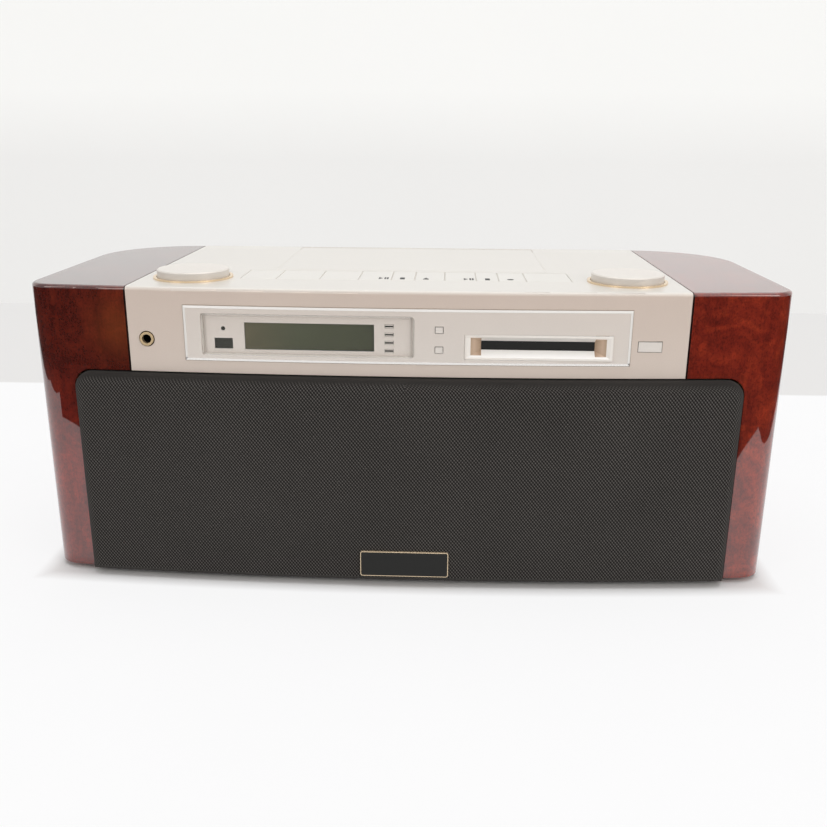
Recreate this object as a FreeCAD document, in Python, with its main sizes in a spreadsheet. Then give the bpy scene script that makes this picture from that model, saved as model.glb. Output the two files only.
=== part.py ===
import FreeCAD, Part
import math
import os
import re
import Sketcher
from FreeCAD import Placement, Rotation, Vector

# A tabletop stereo for compact discs and cartridges: a champagne top cover with a fall front, two
# lacquered side wings, a cloth grille over two loudspeakers, a lifting disc lid and a cartridge slot.
# Frame: X to the right seen from the front, Y towards the back, Z up, millimetres.
# Origin: bottom centre of the whole set, on the surface it stands on.
# "drop" names measure down from the top surface, "in" names measure back from the front face.
# Cuts run 1 mm past the surfaces that they open.

DRIVING_SIZES = {
    # Whole set
    "overall_width": 527,
    "overall_depth": 242.5,
    "top_height": 215,
    "foot_height": 4,
    "foot_radius": 9,
    "foot_inset": 70,
    "foot_front": 17,
    "foot_back": 45,
    # Wings
    "wing_width": 71.5,
    "wing_wall": 9,
    "wing_corner": 19,
    # Top cover and its bowed fall front
    "front_bow": 3000,
    "panel_face": 59,
    "cover_wall": 3,
    "seam": 0.6,
    "edge_round": 2.5,
    # Clearances
    "fit": 0.3,
    "moving_gap": 0.4,
    "shaft_gap": 0.05,
    # Grille
    "grille_inset": 31,
    "grille_gap": 1.3,
    "grille_corner": 11.5,
    "grille_proud": 8.5,
    "grille_round": 7.5,
    "grille_bevel": 4,
    "grille_depth": 11,
    "cloth_wall": 1.2,
    "cloth_gap": 0.15,
    "frame_bar": 11,
    "frame_bar_x": 119,
    "peg_radius": 3.5,
    "peg_reach": 9,
    "badge_width": 62,
    "badge_height": 18,
    "badge_thickness": 1.5,
    "badge_lift": 6,
    "badge_corner": 1,
    # Boards inside
    "board_wall": 12,
    "base_wall": 9,
    "shelf_wall": 6,
    "rear_wall": 3,
    "upright_x": 115,
    # Loudspeakers
    "speaker_side": 4.5,
    "speaker_lift": 2.5,
    "speaker_radius": 48,
    "speaker_depth": 40,
    "cone_radius": 36,
    "surround_width": 6,
    "surround_height": 2.5,
    "basket_wall": 2,
    "basket_lip": 4,
    "arm_width": 12,
    "arm_wall": 3,
    "coil_radius": 12.5,
    "coil_wall": 1,
    "coil_reach": 4.5,
    "cone_lift": 11,
    "cone_wall": 1.5,
    "cap_rise": 4,
    "magnet_radius": 31,
    "magnet_hole": 23,
    "magnet_height": 15,
    "magnet_plate": 4,
    "cone_travel": 1.5,
    # Raised control panel on the fall front
    "sub_left": 151.5,
    "sub_right": 152,
    "sub_top": 12.3,
    "sub_bottom": 49.7,
    "sub_proud": 0.9,
    "sub_bevel": 0.5,
    "sub_seat": 0.02,
    "sub_lap": 3,
    "sub_plug": 3.5,
    # Display
    "window_left": 140,
    "window_right": 6,
    "window_top": 17,
    "window_bottom": 46,
    "window_corner": 3,
    "window_recess": 1,
    "window_wall": 2,
    "fascia_gap": 0.3,
    "lcd_left": 110.2,
    "lcd_right": 21.8,
    "lcd_top": 23.8,
    "lcd_bottom": 42,
    "receiver_left": 131.3,
    "receiver_right": 119.2,
    "receiver_top": 34.9,
    "receiver_bottom": 41.8,
    "lamp_radius": 1.2,
    "lamp_drop": 28,
    "bar_left": 14,
    "bar_width": 5.5,
    "bar_height": 2.2,
    "bar_drop": 24.6,
    "bar_pitch": 5.67,
    # Cartridge slot
    "mouth_left": 39.8,
    "mouth_right": 140,
    "mouth_top": 29,
    "mouth_bottom": 46.4,
    "mouth_rim": 1.6,
    "lip_depth": 5,
    "slot_left": 51.4,
    "slot_right": 128.2,
    "slot_top": 34.1,
    "slot_bottom": 40.3,
    "mouth_depth": 17,
    "door_wall": 1.2,
    "door_pin": 0.6,
    "pin_reach": 2,
    "drive_depth": 82,
    "drive_side": 5.5,
    "drive_over": 6,
    "drive_under": 10,
    "drive_leg": 10,
    "bay_side": 1.5,
    "bay_spare": 3,
    "lead_in": 4,
    "cartridge_depth": 72,
    # Small front buttons, eject key and headphone jack
    "small_button_x": 22.7,
    "small_button_width": 5,
    "small_button_height": 4,
    "upper_button_drop": 26,
    "lower_button_drop": 39.7,
    "button_travel": 0.8,
    "button_proud": 0.5,
    "button_flange": 1,
    "button_flange_wall": 0.8,
    "eject_left": 157.5,
    "eject_right": 173.2,
    "eject_top": 33.4,
    "eject_bottom": 40.1,
    "phones_x": 178.6,
    "phones_drop": 36,
    "phones_bore": 3.2,
    "phones_nut": 4.8,
    "phones_ring": 5.5,
    "phones_proud": 0.8,
    "phones_case": 14,
    "phones_bracket": 8,
    "phones_gap": 2,
    "phones_collar": 12,
    "phones_hole": 23,
    "phones_length": 30,
    # Switches and circuit boards
    "circuit_wall": 1.6,
    "switch_size": 6,
    "switch_height": 3.5,
    "plunger_width": 3.4,
    "plunger_height": 0.7,
    "front_board_in": 12.5,
    "eject_board_in": 16,
    "top_board_drop": 13.4,
    "board_edge": 14,
    "board_front": 20,
    "board_back": 2,
    "board_side": 2,
    "eject_board_over": 5,
    "board_post": 6,
    "post_side": 8,
    "post_front": 12,
    "post_back": 4,
    # Row of keys on the top
    "keys_left": 121,
    "key_front_in": 45.5,
    "key_length": 39,
    "key_gap": 0.3,
    "key_bevel": 0.4,
    "key_stem": 5,
    "key_flange": 1.6,
    "key_flange_wall": 2.4,
    "key_travel": 1,
    "power_key_width": 26,
    "timer_key_width": 31,
    "tuner_key_width": 28,
    "cd_play_key_width": 23.5,
    "cd_stop_key_width": 16.8,
    "lid_key_width": 21.5,
    "md_play_key_width": 22.6,
    "md_stop_key_width": 16.1,
    "record_key_width": 19.5,
    "line_key_width": 32.5,
    # Knobs
    "knob_inset": 36.5,
    "knob_in": 49.5,
    "knob_radius": 25.5,
    "knob_height": 6.5,
    "knob_bevel": 0.8,
    "knob_wall": 2,
    "knob_skirt": 0.5,
    "knob_ring": 2.2,
    "knob_ring_height": 1.2,
    "knob_ring_gap": 0.5,
    "knob_shaft": 3,
    "encoder_size": 12,
    "encoder_height": 6,
    "encoder_floor": 1,
    "bushing_wall": 2,
    "bushing_height": 3.4,
    # Disc lid, its hinge and drive
    "lid_half_width": 102,
    "lid_wall": 2.6,
    "lid_bevel": 0.5,
    "hinge_inset": 7.5,
    "hinge_radius": 3.5,
    "hinge_pin": 1.5,
    "hinge_pin_grip": 4,
    "pin_spare": 0.5,
    "sector_module": 1,
    "sector_teeth": 48,
    "pinion_teeth": 12,
    "pressure_angle": 20,
    "gear_backlash": 0.12,
    "sector_inset": 14,
    "sector_wall": 3,
    "sector_gap": 0.2,
    "seat_gap": 0.01,
    "sector_lead": 10,
    "sector_tail": 8,
    "sector_window": 4.2,
    "sector_window_reach": 13,
    "sector_window_angle": 34.4,
    "mesh_angle": 20,
    "lid_swing": 70,
    "lid_motor_radius": 7,
    "lid_motor_length": 22,
    "lid_motor_gap": 0.6,
    "lid_shaft": 1.5,
    "shaft_proud": 0.8,
    "bracket_wall": 2,
    "bracket_width": 12,
    # Disc clamp and the ring that holds it
    "disc_wall": 1.2,
    "clamp_radius": 16,
    "clamp_neck": 9,
    "clamp_gap": 0.3,
    "clamp_hub_gap": 0.7,
    "clamp_hollow": 1.6,
    "clamp_foot": 2,
    "clamp_lift": 0.9,
    "clamp_lip": 2,
    "clamp_play": 0.8,
    "clamp_flange": 1.5,
    "ring_wall": 1.2,
    "holder_edge": 1.5,
    "holder_leg_width": 3,
    "holder_leg_depth": 8,
    # Disc well and mechanism
    "disc_radius": 60,
    "disc_drop": 12,
    "well_gap": 1.5,
    "well_floor_drop": 14.2,
    "well_wall": 1.8,
    "deck_flange": 4.4,
    "deck_wall": 3,
    "deck_front": 3,
    "deck_back": 2.5,
    "hub_radius": 7.3,
    "hub_height": 2.4,
    "hub_bevel": 1,
    "hub_collar": 4,
    "hub_collar_height": 2,
    "platter_radius": 15,
    "platter_wall": 3,
    "platter_gap": 2,
    "spindle_radius": 1,
    "spindle_reach": 8,
    "spindle_hole": 5,
    "spindle_motor_radius": 12,
    "motor_height": 14,
    "chassis_drop": 23,
    "chassis_wall": 2,
    "chassis_right": 30,
    "chassis_front": 40,
    "chassis_back": 34,
    "chassis_post": 6,
    "chassis_post_left": 50,
    "chassis_post_right": 20,
    "chassis_post_y": 31,
    "pickup_start": 24,
    "pickup_travel": 34,
    "pickup_half_length": 14,
    "pickup_half_width": 22,
    "pickup_drop": 17,
    "lens_radius": 4,
    "lens_rim": 2,
    "lens_gap": 1.5,
    "lens_proud": 1,
    "lens_spare": 4,
    "lens_corner": 3,
    "rod_radius": 1.5,
    "rod_spacing": 36,
    "rod_drop": 19.6,
    "rod_spare": 5,
    "rod_stop": 1.5,
    "rod_block_width": 6,
    "rod_block_length": 4,
    "rack_module": 0.8,
    "rack_width": 2,
    "rack_spare": 4,
    "feed_teeth": 16,
    "feed_gear_x": 36,
    "feed_motor_radius": 9,
    "feed_shaft": 1,
    "feed_hole": 3,
    "gear_wall": 3,
    "gear_lift": 0.5,
    # Back
    "plate_proud": 0.4,
    "jack_reach": 4,
    "jack_radius": 4.15,
    "jack_bore": 1.6,
    "jack_pitch": 14,
    "jack_rim": 8,
    "jack_depth": 14,
    "jacks_inset": 45,
    "jacks_drop": 40,
    "aerial_inset": 40,
    "aerial_width": 24,
    "aerial_height": 16,
    "aerial_depth": 10,
    "terminal_radius": 3,
    "terminal_x": 6,
    "inlet_inset": 30,
    "inlet_lift": 22,
    "inlet_width": 16,
    "inlet_height": 8,
    "inlet_corner": 3.8,
    "inlet_depth": 12,
    "inlet_rim": 4,
    "inlet_pin": 1.2,
    "inlet_pin_x": 4.4,
    "vent_pitch": 8,
    "vent_count": 11,
    "vent_width": 3,
    "vent_low": 52,
    "vent_high": 26,
    "screw_radius": 3,
    "screw_head": 1.4,
    "screw_inset": 12,
    "screw_low": 8,
    "screw_high": 18,
    # Amplifier board, heat sink and transformer
    "main_board_left": 40,
    "main_board_side": 6,
    "main_board_front": 12,
    "main_board_back": 20,
    "main_board_lift": 10,
    "main_post_inset": 6,
    "sink_left": 20,
    "sink_in": 60,
    "sink_wall": 5,
    "sink_height": 60,
    "fin_wall": 2,
    "fin_reach": 19,
    "fin_pitch": 8,
    "fin_count": 10,
    "core_inset": 45,
    "core_in": 60,
    "core_width": 60,
    "core_depth": 28,
    "core_height": 50,
    "core_foot_width": 84,
    "core_foot_wall": 2,
    "winding_width": 38,
    "winding_depth": 52,
    "winding_height": 36,
    "winding_corner": 5,
}

KEYS = ("power_key", "timer_key", "tuner_key", "cd_play_key", "cd_stop_key",
        "lid_key", "md_play_key", "md_stop_key", "record_key", "line_key")

doc = FreeCAD.newDocument("disc_system")
sheet = doc.addObject("Spreadsheet::Sheet", "Sizes")
places = doc.addObject("App::VarSet", "Places")
pieces = {}

for row, (alias, value) in enumerate(DRIVING_SIZES.items(), start=1):
    sheet.set(f"A{row}", alias)
    sheet.set(f"B{row}", str(value))
    sheet.setAlias(f"B{row}", alias)


def bound(text):
    """An expression whose size and place names carry the name of the object that holds them."""
    def with_owner(match):
        word = match.group(0)
        if word in DRIVING_SIZES:
            return "Sizes." + word
        if word in places.PropertiesList:
            return "Places." + word
        return word
    return re.sub(r"[a-z_][a-z_0-9]*", with_owner, str(text))


def number(text):
    """The value of an expression in millimetres or degrees."""
    return float(places.evalExpression(bound(text)))


def place(name, text):
    """Names a place that is worked out from the driving sizes."""
    places.addProperty("App::PropertyFloat", name)
    places.setExpression(name, bound(text))
    places.recompute()


def face(x, inward="0"):
    """The Y of the bowed front face at x, or of a surface set back from it by inward."""
    return f"(bow_y - sqrt((front_bow - ({inward}))^2 - ({x})^2))"


def drop(text):
    """The Z that lies this far below the top surface."""
    return f"(top_height - ({text}))"


doc.recompute()
# Outline
place("half_width", "overall_width/2")
place("panel_half", "half_width - wing_width")
place("cover_half", "panel_half - seam")
place("front_y", "badge_thickness + grille_proud - overall_depth/2")
place("rear_y", "overall_depth/2 - jack_reach")
place("bow_y", "front_y + front_bow")
place("corner_x", "half_width - wing_corner")
place("corner_y", "bow_y - sqrt((front_bow - wing_corner)^2 - corner_x^2)")
place("face_bottom", drop("panel_face"))
place("shelf_bottom", "face_bottom - shelf_wall")
place("base_top", "foot_height + base_wall")
# Grille and baffle
place("grille_half", "half_width - grille_inset")
place("grille_top", "face_bottom - grille_gap")
place("grille_front_y", "front_y - grille_proud")
place("grille_back_y", face("grille_half", "-grille_proud") + " + grille_depth")
place("baffle_y", "corner_y - wing_corner + wing_wall + fit")
place("baffle_back_y", "baffle_y + board_wall")
place("speaker_x", "grille_half - speaker_side - speaker_radius")
place("speaker_z", "(base_top + shelf_bottom)/2 + speaker_lift")
place("speaker_hole", "cone_radius + surround_width + 1")
# Keys, knobs and boards
place("key_front", "front_y + key_front_in")
place("key_back", "key_front + key_length")
place("keys_right", "+".join(key + "_width" for key in KEYS) + " - keys_left")
place("knob_x", "panel_half - knob_inset")
place("knob_y", "front_y + knob_in")
place("board_half", "knob_x + encoder_size/2 + board_edge")
place("board_z", drop("top_board_drop"))
place("front_board_y", "front_y + front_board_in")
place("eject_board_y", "front_y + eject_board_in")
# Lid
place("hinge_y", "rear_y - hinge_inset")
place("hinge_z", drop("hinge_radius"))
place("well_radius", "disc_radius + well_gap")
place("well_y", "hinge_y - hinge_radius - moving_gap - well_wall - well_radius - 1")
place("lid_front", "well_y - well_radius - 1")
place("mesh_distance", "sector_module*(sector_teeth + pinion_teeth)/2")
place("pinion_y", "hinge_y - mesh_distance*cos(mesh_angle)")
place("pinion_z", "hinge_z - mesh_distance*sin(mesh_angle)")
place("sector_x", "lid_half_width - sector_inset")
# Disc mechanism
place("disc_z", drop("disc_drop"))
place("chassis_z", drop("chassis_drop"))
place("rod_z", drop("rod_drop"))
place("rack_y", "well_y - pickup_half_width - rack_width")
place("feed_radius", "rack_module*feed_teeth/2")
place("feed_gear_y", "rack_y - feed_radius")
# Slot
place("mouth_x", "(mouth_left + mouth_right)/2")
place("mouth_y", face("mouth_x", "-sub_proud"))
place("door_z", drop("slot_top - door_pin - moving_gap"))
place("door_y", "mouth_y + lip_depth + moving_gap + door_wall/2")
place("drive_y", "mouth_y + mouth_depth + fit")

# Turns that point a primitive's own Z axis along a row axis
ALONG = {
    "x": Rotation(Vector(0, 1, 0), 90),
    "y": Rotation(Vector(1, 0, 0), -90),
    "z": Rotation(),
}


def set_at(solid, at):
    """Binds an object's place to three expressions."""
    for way, text in zip("xyz", at):
        solid.setExpression(f"Placement.Base.{way}", bound(text))
    return solid


def box(x, y, z, name="block"):
    """A block between the low and high place on each axis."""
    solid = doc.addObject("Part::Box", name)
    for side, (low, high) in zip(("Length", "Width", "Height"), (x, y, z)):
        solid.setExpression(side, bound(f"({high}) - ({low})"))
    return set_at(solid, (x[0], y[0], z[0]))


def cylinder(radius, length, at, axis="z", name="round"):
    """A cylinder that starts at a point and runs along +X, +Y or +Z."""
    solid = doc.addObject("Part::Cylinder", name)
    solid.Placement = Placement(Vector(), ALONG[axis])
    solid.setExpression("Radius", bound(radius))
    solid.setExpression("Height", bound(length))
    return set_at(solid, at)


def joined(*solids, name="joined"):
    """One object of several solids, which fuse where they meet."""
    union = doc.addObject("Part::MultiFuse", name)
    union.Shapes = list(solids)
    return union


def cut(base, *tools, name="cut"):
    """A solid with tools taken away."""
    result = doc.addObject("Part::Cut", name)
    result.Base = base
    result.Tool = tools[0] if len(tools) == 1 else joined(*tools, name="tools")
    return result


def mirrored(solid, name):
    """The same solid on the other side of the set."""
    twin = doc.addObject("Part::Mirroring", name)
    twin.Source = solid
    twin.Normal = Vector(1, 0, 0)
    return twin


def keep(name, solid):
    """Marks a finished sub-part and gives it its name."""
    solid.Label = name
    pieces[name] = solid
    return solid


def sketch(owner, plane, level="0"):
    """A sketch on one of the body's own planes, moved to a place along that plane's axis."""
    drawn = owner.newObject("Sketcher::SketchObject", "outline")
    planes = [item for item in owner.Origin.OriginFeatures if item.Role == plane + "_Plane"]
    drawn.AttachmentSupport = (planes[0], "")
    drawn.MapMode = "FlatFace"
    sign = "-" if plane == "XZ" else ""
    drawn.setExpression("AttachmentOffset.Base.z", bound(f"{sign}({level})"))
    return drawn


def tie(drawn, kind, geometry, text):
    """A named sketch dimension bound to an expression."""
    index = drawn.addConstraint(Sketcher.Constraint(kind, *geometry, number(text)))
    name = f"dimension{index}"
    drawn.renameConstraint(index, name)
    drawn.setExpression("Constraints." + name, bound(text))


def draw(drawn, corners):
    """A closed outline. A corner is (x, y), or (x, y, radius) when the run that ends there is an
    arc: a positive radius turns left on the way, a negative one turns right."""
    spots = [Vector(number(corner[0]), number(corner[1])) for corner in corners]
    ends = []
    for index, corner in enumerate(corners):
        start = spots[index - 1]
        end = spots[index]
        if len(corner) == 2:
            edge = drawn.addGeometry(Part.LineSegment(start, end))
            ends.append((edge, 1, 2))
            continue
        radius = number(corner[2])
        chord = end - start
        left = Vector(-chord.y, chord.x).normalize() * math.copysign(1, radius)
        rise = math.sqrt(max(radius**2 - (chord.Length / 2)**2, 0))
        middle = (start + end) * 0.5 + left * (rise - abs(radius))
        edge = drawn.addGeometry(Part.Arc(start, middle, end))
        forward = drawn.getPoint(edge, 1).distanceToPoint(start) < chord.Length / 2
        ends.append((edge, 1, 2) if forward else (edge, 2, 1))
        tie(drawn, "Radius", (edge,), corner[2] if radius > 0 else f"-({corner[2]})")
    for index, (edge, _, last) in enumerate(ends):
        following = ends[(index + 1) % len(ends)]
        drawn.addConstraint(Sketcher.Constraint("Coincident", edge, last, following[0], following[1]))
        tie(drawn, "DistanceX", (-1, 1, edge, last), corners[index][0])
        tie(drawn, "DistanceY", (-1, 1, edge, last), corners[index][1])
    return drawn


def ring(drawn, x, y, radius):
    """A circle in a sketch."""
    edge = drawn.addGeometry(Part.Circle(Vector(number(x), number(y)), Vector(0, 0, 1), number(radius)))
    tie(drawn, "Radius", (edge,), radius)
    tie(drawn, "DistanceX", (-1, 1, edge, 3), x)
    tie(drawn, "DistanceY", (-1, 1, edge, 3), y)
    return drawn


def oblong(low_x, high_x, low_y, high_y, radius=None):
    """Corners of a rectangle, rounded where a radius is given."""
    if radius is None:
        return [(low_x, low_y), (high_x, low_y), (high_x, high_y), (low_x, high_y)]
    left, right = f"({low_x}) + ({radius})", f"({high_x}) - ({radius})"
    lower, upper = f"({low_y}) + ({radius})", f"({high_y}) - ({radius})"
    return [(low_x, lower), (left, low_y, radius), (right, low_y), (high_x, lower, radius),
            (high_x, upper), (right, high_y, radius), (left, high_y), (low_x, upper, radius)]


def square(x, y, width):
    """Corners of a square round a point."""
    return oblong(f"{x} - {width}/2", f"{x} + {width}/2", f"{y} - {width}/2", f"{y} + {width}/2")


def new_body(name):
    """An empty body."""
    return doc.addObject("PartDesign::Body", name)


def prism(owner, kind, plane, low, high, outlines):
    """A pad or pocket. An outline is a list of corners, or one (x, y, radius) for a circle."""
    drawn = sketch(owner, plane, high if plane == "XZ" else low)
    for outline in outlines:
        if isinstance(outline, list):
            draw(drawn, outline)
        else:
            ring(drawn, *outline)
    feature = owner.newObject(kind, kind.split("::")[1])
    feature.Profile = drawn
    feature.setExpression("Length", bound(f"({high}) - ({low})"))
    return feature


def pad(owner, plane, low, high, *outlines):
    """Adds the outlines' prism between two places along the plane's axis."""
    return prism(owner, "PartDesign::Pad", plane, low, high, outlines)


def pocket(owner, plane, low, high, *outlines):
    """Takes away the outlines' prism between two places along the plane's axis."""
    feature = prism(owner, "PartDesign::Pocket", plane, low, high, outlines)
    feature.Reversed = True
    return feature


def revolve(owner, corners):
    """Adds a profile drawn as (radius, height) and turned about the body's Z axis."""
    drawn = draw(sketch(owner, "XZ"), corners)
    feature = owner.newObject("PartDesign::Revolution", "Revolution")
    feature.Profile = drawn
    feature.ReferenceAxis = (drawn, ["V_Axis"])
    feature.Angle = 360
    return feature


def dress(owner, kind, size, amount, wanted):
    """A fillet or chamfer on the edges of a body that a test picks."""
    owner.recompute(True)
    base = owner.Tip
    names = [f"Edge{index}" for index, edge in enumerate(base.Shape.Edges, start=1) if wanted(edge)]
    feature = owner.newObject("PartDesign::" + kind, kind)
    feature.Base = (base, names)
    feature.setExpression(size, bound(amount))
    return feature


def round_edges(owner, radius, wanted):
    """Rounds the edges of a body that a test picks."""
    return dress(owner, "Fillet", "Radius", radius, wanted)


def bevel_edges(owner, size, wanted):
    """Bevels the edges of a body that a test picks."""
    return dress(owner, "Chamfer", "Size", size, wanted)


def near(value, text, slack=0.01):
    """Whether a value is at a named place."""
    return abs(value - number(text)) < slack


def lies_at(edge, axis, text):
    """Whether a whole edge lies at one place on an axis."""
    bounds = edge.BoundBox
    low, high = getattr(bounds, axis + "Min"), getattr(bounds, axis + "Max")
    return near(low, text) and near(high, text)


# Side wings

def wing_outline(inward, inner_x):
    """The right wing's plan, set in from its outer surface, from an inner side at inner_x."""
    share = f"(front_bow - ({inward}))/(front_bow - wing_corner)"
    return [(inner_x, face(inner_x, inward)),
            (f"corner_x*{share}", f"bow_y - (bow_y - corner_y)*{share}", f"front_bow - ({inward})"),
            (f"half_width - ({inward})", "corner_y", f"wing_corner - ({inward})"),
            (f"half_width - ({inward})", "rear_y - wing_width"),
            ("panel_half", f"rear_y - ({inward})", f"wing_width - ({inward})")]


def make_wing():
    """A wooden shell with a bowed front, a small front corner and a large rear corner."""
    wing = new_body("wing")
    pad(wing, "XY", "foot_height", "top_height", wing_outline("0", "panel_half"))
    round_edges(wing, "edge_round",
                lambda edge: lies_at(edge, "Z", "top_height") and not lies_at(edge, "X", "panel_half"))
    hollow = wing_outline("wing_wall", "panel_half - 1") + [("panel_half - 1", "rear_y - wing_wall")]
    pocket(wing, "XY", "foot_height - 1", drop("wing_wall"), hollow)
    cut_half = "(grille_half + grille_gap)"
    cut_corner = "(grille_corner + grille_gap)"
    pocket(wing, "XZ", "front_y - 20", "baffle_y",
           [("panel_half - 1", "foot_height - 1"), (cut_half, "foot_height - 1"),
            (cut_half, f"face_bottom - {cut_corner}"),
            (f"{cut_half} - {cut_corner}", "face_bottom", cut_corner),
            ("panel_half - 1", "face_bottom")])
    return wing


right_wing = keep("right_wing", make_wing())
keep("left_wing", mirrored(right_wing, "left_wing"))


# Top cover

def bowed(inward, low_x, high_x, back):
    """A plan with the front's bow and a straight back."""
    return [(low_x, back), (low_x, face(low_x, inward)),
            (high_x, face(high_x, inward), f"front_bow - ({inward})"), (high_x, back)]


def make_cover():
    """One moulding: the flat top, the fall front and a flange down each side."""
    cover = new_body("cover")
    pad(cover, "XY", "face_bottom", "top_height", bowed("0", "-cover_half", "cover_half", "rear_y"))
    round_edges(cover, "edge_round", lambda edge: lies_at(edge, "Z", "top_height")
                and edge.BoundBox.YMin < number("front_y") + 1)
    inner = "(cover_half - cover_wall)"
    pocket(cover, "XY", "face_bottom - 1", drop("cover_wall"),
           bowed("cover_wall", f"-{inner}", inner, "rear_y + 1"))
    # Openings in the top: the row of keys, the knob shafts and the disc lid
    pocket(cover, "XY", drop("cover_wall + 1"), "top_height + 1",
           oblong("-keys_left - key_gap/2", "keys_right + key_gap/2",
                  "key_front - key_gap", "key_back + key_gap"),
           oblong("-lid_half_width - moving_gap", "lid_half_width + moving_gap",
                  "lid_front - moving_gap", "hinge_y + hinge_radius + moving_gap"),
           ("-knob_x", "knob_y", "knob_shaft + 1"),
           ("knob_x", "knob_y", "knob_shaft + 1"))
    # Openings in the front: control panel, eject key and headphone jack
    pocket(cover, "XZ", "front_y - 1", "front_y + 14",
           oblong("sub_lap - sub_left", "sub_right - sub_lap",
                  drop("sub_bottom - sub_lap"), drop("sub_top + sub_lap")),
           oblong("eject_left - moving_gap", "eject_right + moving_gap",
                  drop("eject_bottom + moving_gap"), drop("eject_top - moving_gap")),
           ("-phones_x", drop("phones_drop"), "phones_ring"))
    # Grooves under the top for the hinge pins
    pocket(cover, "XY", drop("cover_wall + 1"), "hinge_z + hinge_pin + shaft_gap",
           *[oblong(low, high, "hinge_y - hinge_pin - shaft_gap", "hinge_y + hinge_pin + shaft_gap")
             for low, high in (("-lid_half_width - deck_flange - fit", "-lid_half_width"),
                               ("lid_half_width", "lid_half_width + deck_flange + fit"))])
    # Posts that carry the circuit board under the top
    pad(cover, "XY", "board_z", drop("cover_wall"),
        *[square(x, y, "board_post") for x in ("-board_half + post_side", "board_half - post_side")
          for y in ("key_front - post_front", "key_back - post_back")])
    return cover


keep("upper_cover", make_cover())


# Grille

def grille_block(name, inward, back):
    """The grille's block: bowed front, large top corners, and front edges that are rounded outside
    and bevelled along the bottom and on what lies inside."""
    half = f"(grille_half - {inward})"
    block = new_body(name)
    pad(block, "XY", f"foot_height + {inward}", f"grille_top - {inward}",
        bowed(f"{inward} - grille_proud", f"-{half}", half, back))
    round_edges(block, f"grille_corner - {inward}",
                lambda edge: lies_at(edge, "Z", f"grille_top - {inward}")
                and abs(edge.BoundBox.XMax - edge.BoundBox.XMin) < 0.01)

    def in_front(edge):
        """Whether an edge bounds the block's front face."""
        return edge.BoundBox.YMax < number(back) - 1

    if inward == "0":
        bevel_edges(block, "grille_bevel", lambda edge: in_front(edge) and lies_at(edge, "Z", "foot_height"))
        above = number("foot_height + grille_bevel") + 1
        round_edges(block, "grille_round", lambda edge: in_front(edge) and edge.BoundBox.ZMax > above)
    else:
        bevel_edges(block, "grille_bevel", in_front)
    return block


def make_grille():
    """A frame with bars behind the speakers' windows, and the cloth stretched round it."""
    cloth = cut(grille_block("cloth_outside", "0", "grille_back_y"),
                grille_block("cloth_inside", "cloth_wall", "grille_back_y + 1"), name="cloth")
    frame = grille_block("frame", "(cloth_wall + cloth_gap)", "grille_back_y")
    edge = "(grille_half - cloth_wall - frame_bar)"
    low, high = "(foot_height + cloth_wall + frame_bar)", "(grille_top - cloth_wall - frame_bar)"
    half_bar = "(frame_bar/2)"
    pocket(frame, "XZ", "grille_front_y - 1", "grille_back_y + 1",
           oblong(f"-{edge}", f"-frame_bar_x - {half_bar}", low, high),
           oblong(f"-frame_bar_x + {half_bar}", f"-{half_bar}", low, high),
           oblong(half_bar, f"frame_bar_x - {half_bar}", low, high),
           oblong(f"frame_bar_x + {half_bar}", edge, low, high))
    pad(frame, "XZ", "grille_back_y", "grille_back_y + peg_reach",
        *[(x, z, "peg_radius") for x in PEG_PLACES_X for z in PEG_PLACES_Z])
    return cloth, frame


PEG_PLACES_X = ("-peg_x", "0", "peg_x")
PEG_PLACES_Z = ("peg_low", "peg_high")
place("peg_x", "grille_half - cloth_wall - frame_bar/2")
place("peg_low", "foot_height + cloth_wall + frame_bar/2 + base_wall")
place("peg_high", "grille_top - cloth_wall - frame_bar/2 - shelf_wall - fit")
grille_cloth, grille_frame = make_grille()
keep("grille_cloth", grille_cloth)
keep("grille_frame", grille_frame)

badge = new_body("badge")
pad(badge, "XZ", "grille_front_y - badge_thickness", "grille_front_y",
    oblong("-badge_width/2", "badge_width/2",
           "foot_height + badge_lift", "foot_height + badge_lift + badge_height", "badge_corner"))
keep("badge_plate", badge)


# Boards that carry everything

def make_baffle():
    """The front board, with the speaker holes and the grille's peg holes."""
    baffle = new_body("baffle")
    pad(baffle, "XZ", "baffle_y", "baffle_back_y",
        oblong("-corner_x", "corner_x", "base_top", "shelf_bottom"))
    pocket(baffle, "XZ", "baffle_y - 1", "baffle_back_y + 1",
           ("-speaker_x", "speaker_z", "speaker_hole"), ("speaker_x", "speaker_z", "speaker_hole"))
    pocket(baffle, "XZ", "baffle_y - 1", "baffle_y + peg_reach",
           *[(x, z, "peg_radius + fit/2") for x in PEG_PLACES_X for z in PEG_PLACES_Z])
    return baffle


def make_base():
    """The bottom board, which fills the plan inside the wings' walls."""
    inward = "(wing_wall + fit)"
    right = [("corner_x", "baffle_y"),
             (f"half_width - {inward}", "corner_y", f"wing_corner - {inward}"),
             (f"half_width - {inward}", "rear_y - wing_width"),
             ("panel_half", f"rear_y - {inward}", f"wing_width - {inward}"),
             ("cover_half", f"rear_y - {inward}"), ("cover_half", "rear_y - rear_wall")]
    left = []
    for index, corner in enumerate(reversed(right)):
        before = right[len(right) - index] if index else ()
        left.append((f"-({corner[0]})",) + corner[1:2] + before[2:3])
    base = new_body("base")
    pad(base, "XY", "foot_height", "base_top", right + left)
    return base


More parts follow.
